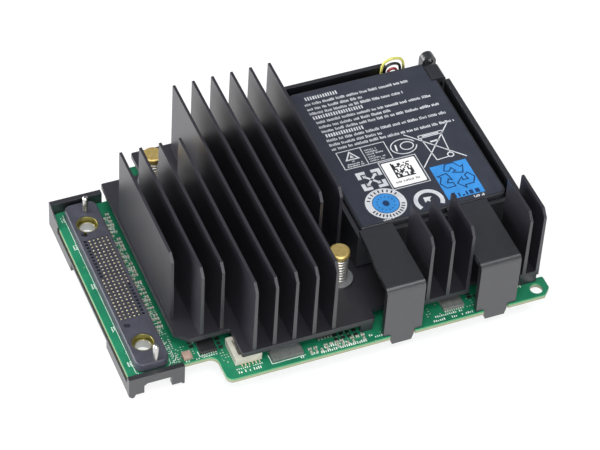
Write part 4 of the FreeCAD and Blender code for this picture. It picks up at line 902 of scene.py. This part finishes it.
def chip_leads(node, count):
    """Short flat leads along the front and back of a chip."""
    low, high = millimetres(node)
    out, under, tall = 0.45, 0.05, 0.18
    pitch = (high.x - low.x) / (count + 0.5)
    lead = (pitch * 0.45, out + under, tall)
    meshes = []
    for y in (low.y - out, high.y - under):
        meshes.append(blocks(count, 1, (pitch, 0), lead, (low.x + pitch * 0.5, y, 0), SOLDER))
    return meshes


gathered("board_legend", board_legend(), LEGEND)
gathered("board_pads", bare_pads(), SOLDER)
gathered("capacitor_ends", metal_ends("ceramic_capacitors", True), SOLDER)
gathered("underside_capacitor_ends", metal_ends("underside_capacitors", False), SOLDER)
leads = chip_leads("logic_chip", 7) + chip_leads("regulator_chip", 5) + chip_leads("flash_chip", 9)
gathered("chip_leads", leads, SOLDER)


def header_slit_shade():
    """Row of slits down the left wall of the front header, drawn as thin black strips laid on the wall:
    painted shade in the openings.
    """
    low = millimetres("front_header")[0]
    count, pitch, proud = 11, 0.68, 0.02
    slit = (2 * proud, 0.22, 1.9)
    return [blocks(1, count, (0, pitch), slit, (low.x - proud, low.y + 0.3, 0.5), EPOXY)]


def small_parts():
    """Black chip resistors and transistors in the open patches of the board."""
    pitch, body = (1.9, 1.5), (1.3, 0.8, 0.45)
    # Place, columns and rows, and seed of each patch.
    patches = ((57.0, 3.5, 4, 2, 50), (26.4, 11.4, 1, 3, 51), (18.9, 14.2, 1, 2, 52), (97.6, 5.6, 3, 2, 53))
    meshes = []
    for u, v, columns, rows, seed in patches:
        at = (BU + u, BV + v, 0)
        meshes.append(blocks(columns, rows, pitch, body, at, EPOXY, (0.25, 0.2, 0.4), 0.85, seed))
    return meshes


# The black strips on the header's wall are painted shade where its slits open.
gathered("header_slit_shade", header_slit_shade(), EPOXY)
gathered("small_board_parts", small_parts(), EPOXY)


# ---- seats of the springs ---------------------------------------------------
def boss_ring(node):
    """Milled seat round the foot of a screw spring."""
    x, y, _ = upright(node)
    inner, outer = 1.6, 4.25
    sunk, thick = 0.05, 0.02
    low = millimetres(node)[0].z - sunk
    high = low + thick
    return turned([(inner, low), (outer, low), (outer, high), (inner, high), (inner, low)], x, y, 48)


rings = [boss_ring("screw_spring_" + end) for end in ("front", "back")]
gathered("boss_rings", rings, MILLED)


# ---- floor, light and camera (in metres) -------------------------------------
FLOOR_HALF = 3.0
LAMP_AWAY = 1.1
LAMP_SIDE = 0.9


def studio_white(tree, bounced, seen, ground):
    """White to the camera and in reflections, and a plain pale surface to the lamps."""
    rays = add(tree, "ShaderNodeLightPath").outputs
    either = add(tree, "ShaderNodeMath", links={0: rays["Is Camera Ray"], 1: rays["Is Glossy Ray"]},
                 operation="MAXIMUM")
    any_view = add(tree, "ShaderNodeMath", links={0: either, 1: rays["Is Transmission Ray"]},
                   operation="MAXIMUM")
    mixed = add(tree, "ShaderNodeMixShader", links={0: any_view, 1: bounced, 2: seen})
    feed(tree, ground, {"Surface": mixed})


def make_floor():
    """Pale paper floor, level with the card's lowest point, that keeps its shadow."""
    material = bpy.data.materials.new("pale_floor")
    material.use_nodes = True
    tree = material.node_tree
    tree.nodes.remove(tree.nodes["Principled BSDF"])
    place = add(tree, "ShaderNodeTexCoord").outputs["Object"]
    weave = add(tree, "ShaderNodeTexNoise", {"Scale": per(40), "Detail": 2}, {"Vector": place})
    paper = add(tree, "ShaderNodeValToRGB", links={"Fac": weave}, stops=[(0.3, "#e6e6e6"), (0.7, "#eaeaea")])
    bounce = add(tree, "ShaderNodeBsdfDiffuse", links={"Color": paper})
    glow = add(tree, "ShaderNodeEmission", {"Color": (1, 1, 1, 1), "Strength": 0.8})
    faint = add(tree, "ShaderNodeBsdfDiffuse", {"Color": (0.25, 0.25, 0.25, 1)})
    seen = add(tree, "ShaderNodeAddShader", links={0: glow, 1: faint})
    studio_white(tree, bounce, seen, tree.nodes["Material Output"])
    form = bmesh.new()
    bmesh.ops.create_grid(form, x_segments=2, y_segments=2, size=FLOOR_HALF)
    mesh = bpy.data.meshes.new("floor")
    form.to_mesh(mesh)
    form.free()
    mesh.transform(Matrix.Translation((0.05, 0.02, cad_box[0][2])))
    mesh.materials.append(material)
    floor = bpy.data.objects.new("floor", mesh)
    scene.collection.objects.link(floor)


def make_world():
    """White to the camera; to the card a bright horizon under a grey room."""
    world = bpy.data.worlds.new("studio")
    scene.world = world
    world.use_nodes = True
    tree = world.node_tree
    tree.nodes.remove(tree.nodes["Background"])
    way = add(tree, "ShaderNodeTexCoord").outputs["Generated"]
    parts = add(tree, "ShaderNodeSeparateXYZ", links={"Vector": way})
    sky = add(tree, "ShaderNodeValToRGB", links={"Fac": parts.outputs["Z"]},
              stops=[(0.0, "#ffffff"), (0.12, "#d0d0d0"), (0.5, "#6f7078"), (1.0, "#85868c")])
    light = add(tree, "ShaderNodeBackground", {"Strength": 1.0}, {"Color": sky})
    white = add(tree, "ShaderNodeBackground", {"Color": (1, 1, 1, 1), "Strength": 1.0})
    path = add(tree, "ShaderNodeLightPath")
    mixed = add(tree, "ShaderNodeMixShader", links={0: path.outputs["Is Camera Ray"], 1: light, 2: white})
    feed(tree, tree.nodes["World Output"], {"Surface": mixed})


def softbox(name, azimuth, elevation, power):
    """Square soft lamp aimed at the card; azimuth 0 is straight ahead of the front edge."""
    lamp = bpy.data.lights.new(name, "AREA")
    lamp.size = LAMP_SIDE
    lamp.energy = power
    around = math.radians(azimuth)
    up = math.radians(elevation)
    aim = Vector((0.053, 0.025, 0.01))
    level = math.cos(up)
    offset = Vector((math.sin(around) * level, -math.cos(around) * level, math.sin(up))) * LAMP_AWAY
    box = bpy.data.objects.new(name, lamp)
    box.location = aim + offset
    box.rotation_euler = (-offset).to_track_quat("-Z", "Y").to_euler()
    scene.collection.objects.link(box)


def make_camera():
    """Long lens from the front left and above, tilted a little to its side."""
    data = bpy.data.cameras.new("camera")
    data.lens = 161.06
    data.sensor_width = 36.0
    data.clip_start = 0.01
    camera = bpy.data.objects.new("camera", data)
    camera.location = (-0.162557, -0.451410, 0.544250)
    aim = Vector((0.05335, 0.0205, 0.010))
    turn = (aim - camera.location).to_track_quat("-Z", "Y").to_matrix().to_4x4()
    tilt = Matrix.Rotation(math.radians(3.822), 4, "Z")
    camera.rotation_euler = (turn @ tilt).to_euler()
    scene.collection.objects.link(camera)
    scene.camera = camera


make_floor()
make_world()
softbox("overhead", -20, 78, 10.2)
softbox("front_fill", -15, 16, 12.5)
softbox("left_fill", -112, 10, 24.0)
make_camera()
scene.view_settings.view_transform = "Standard"
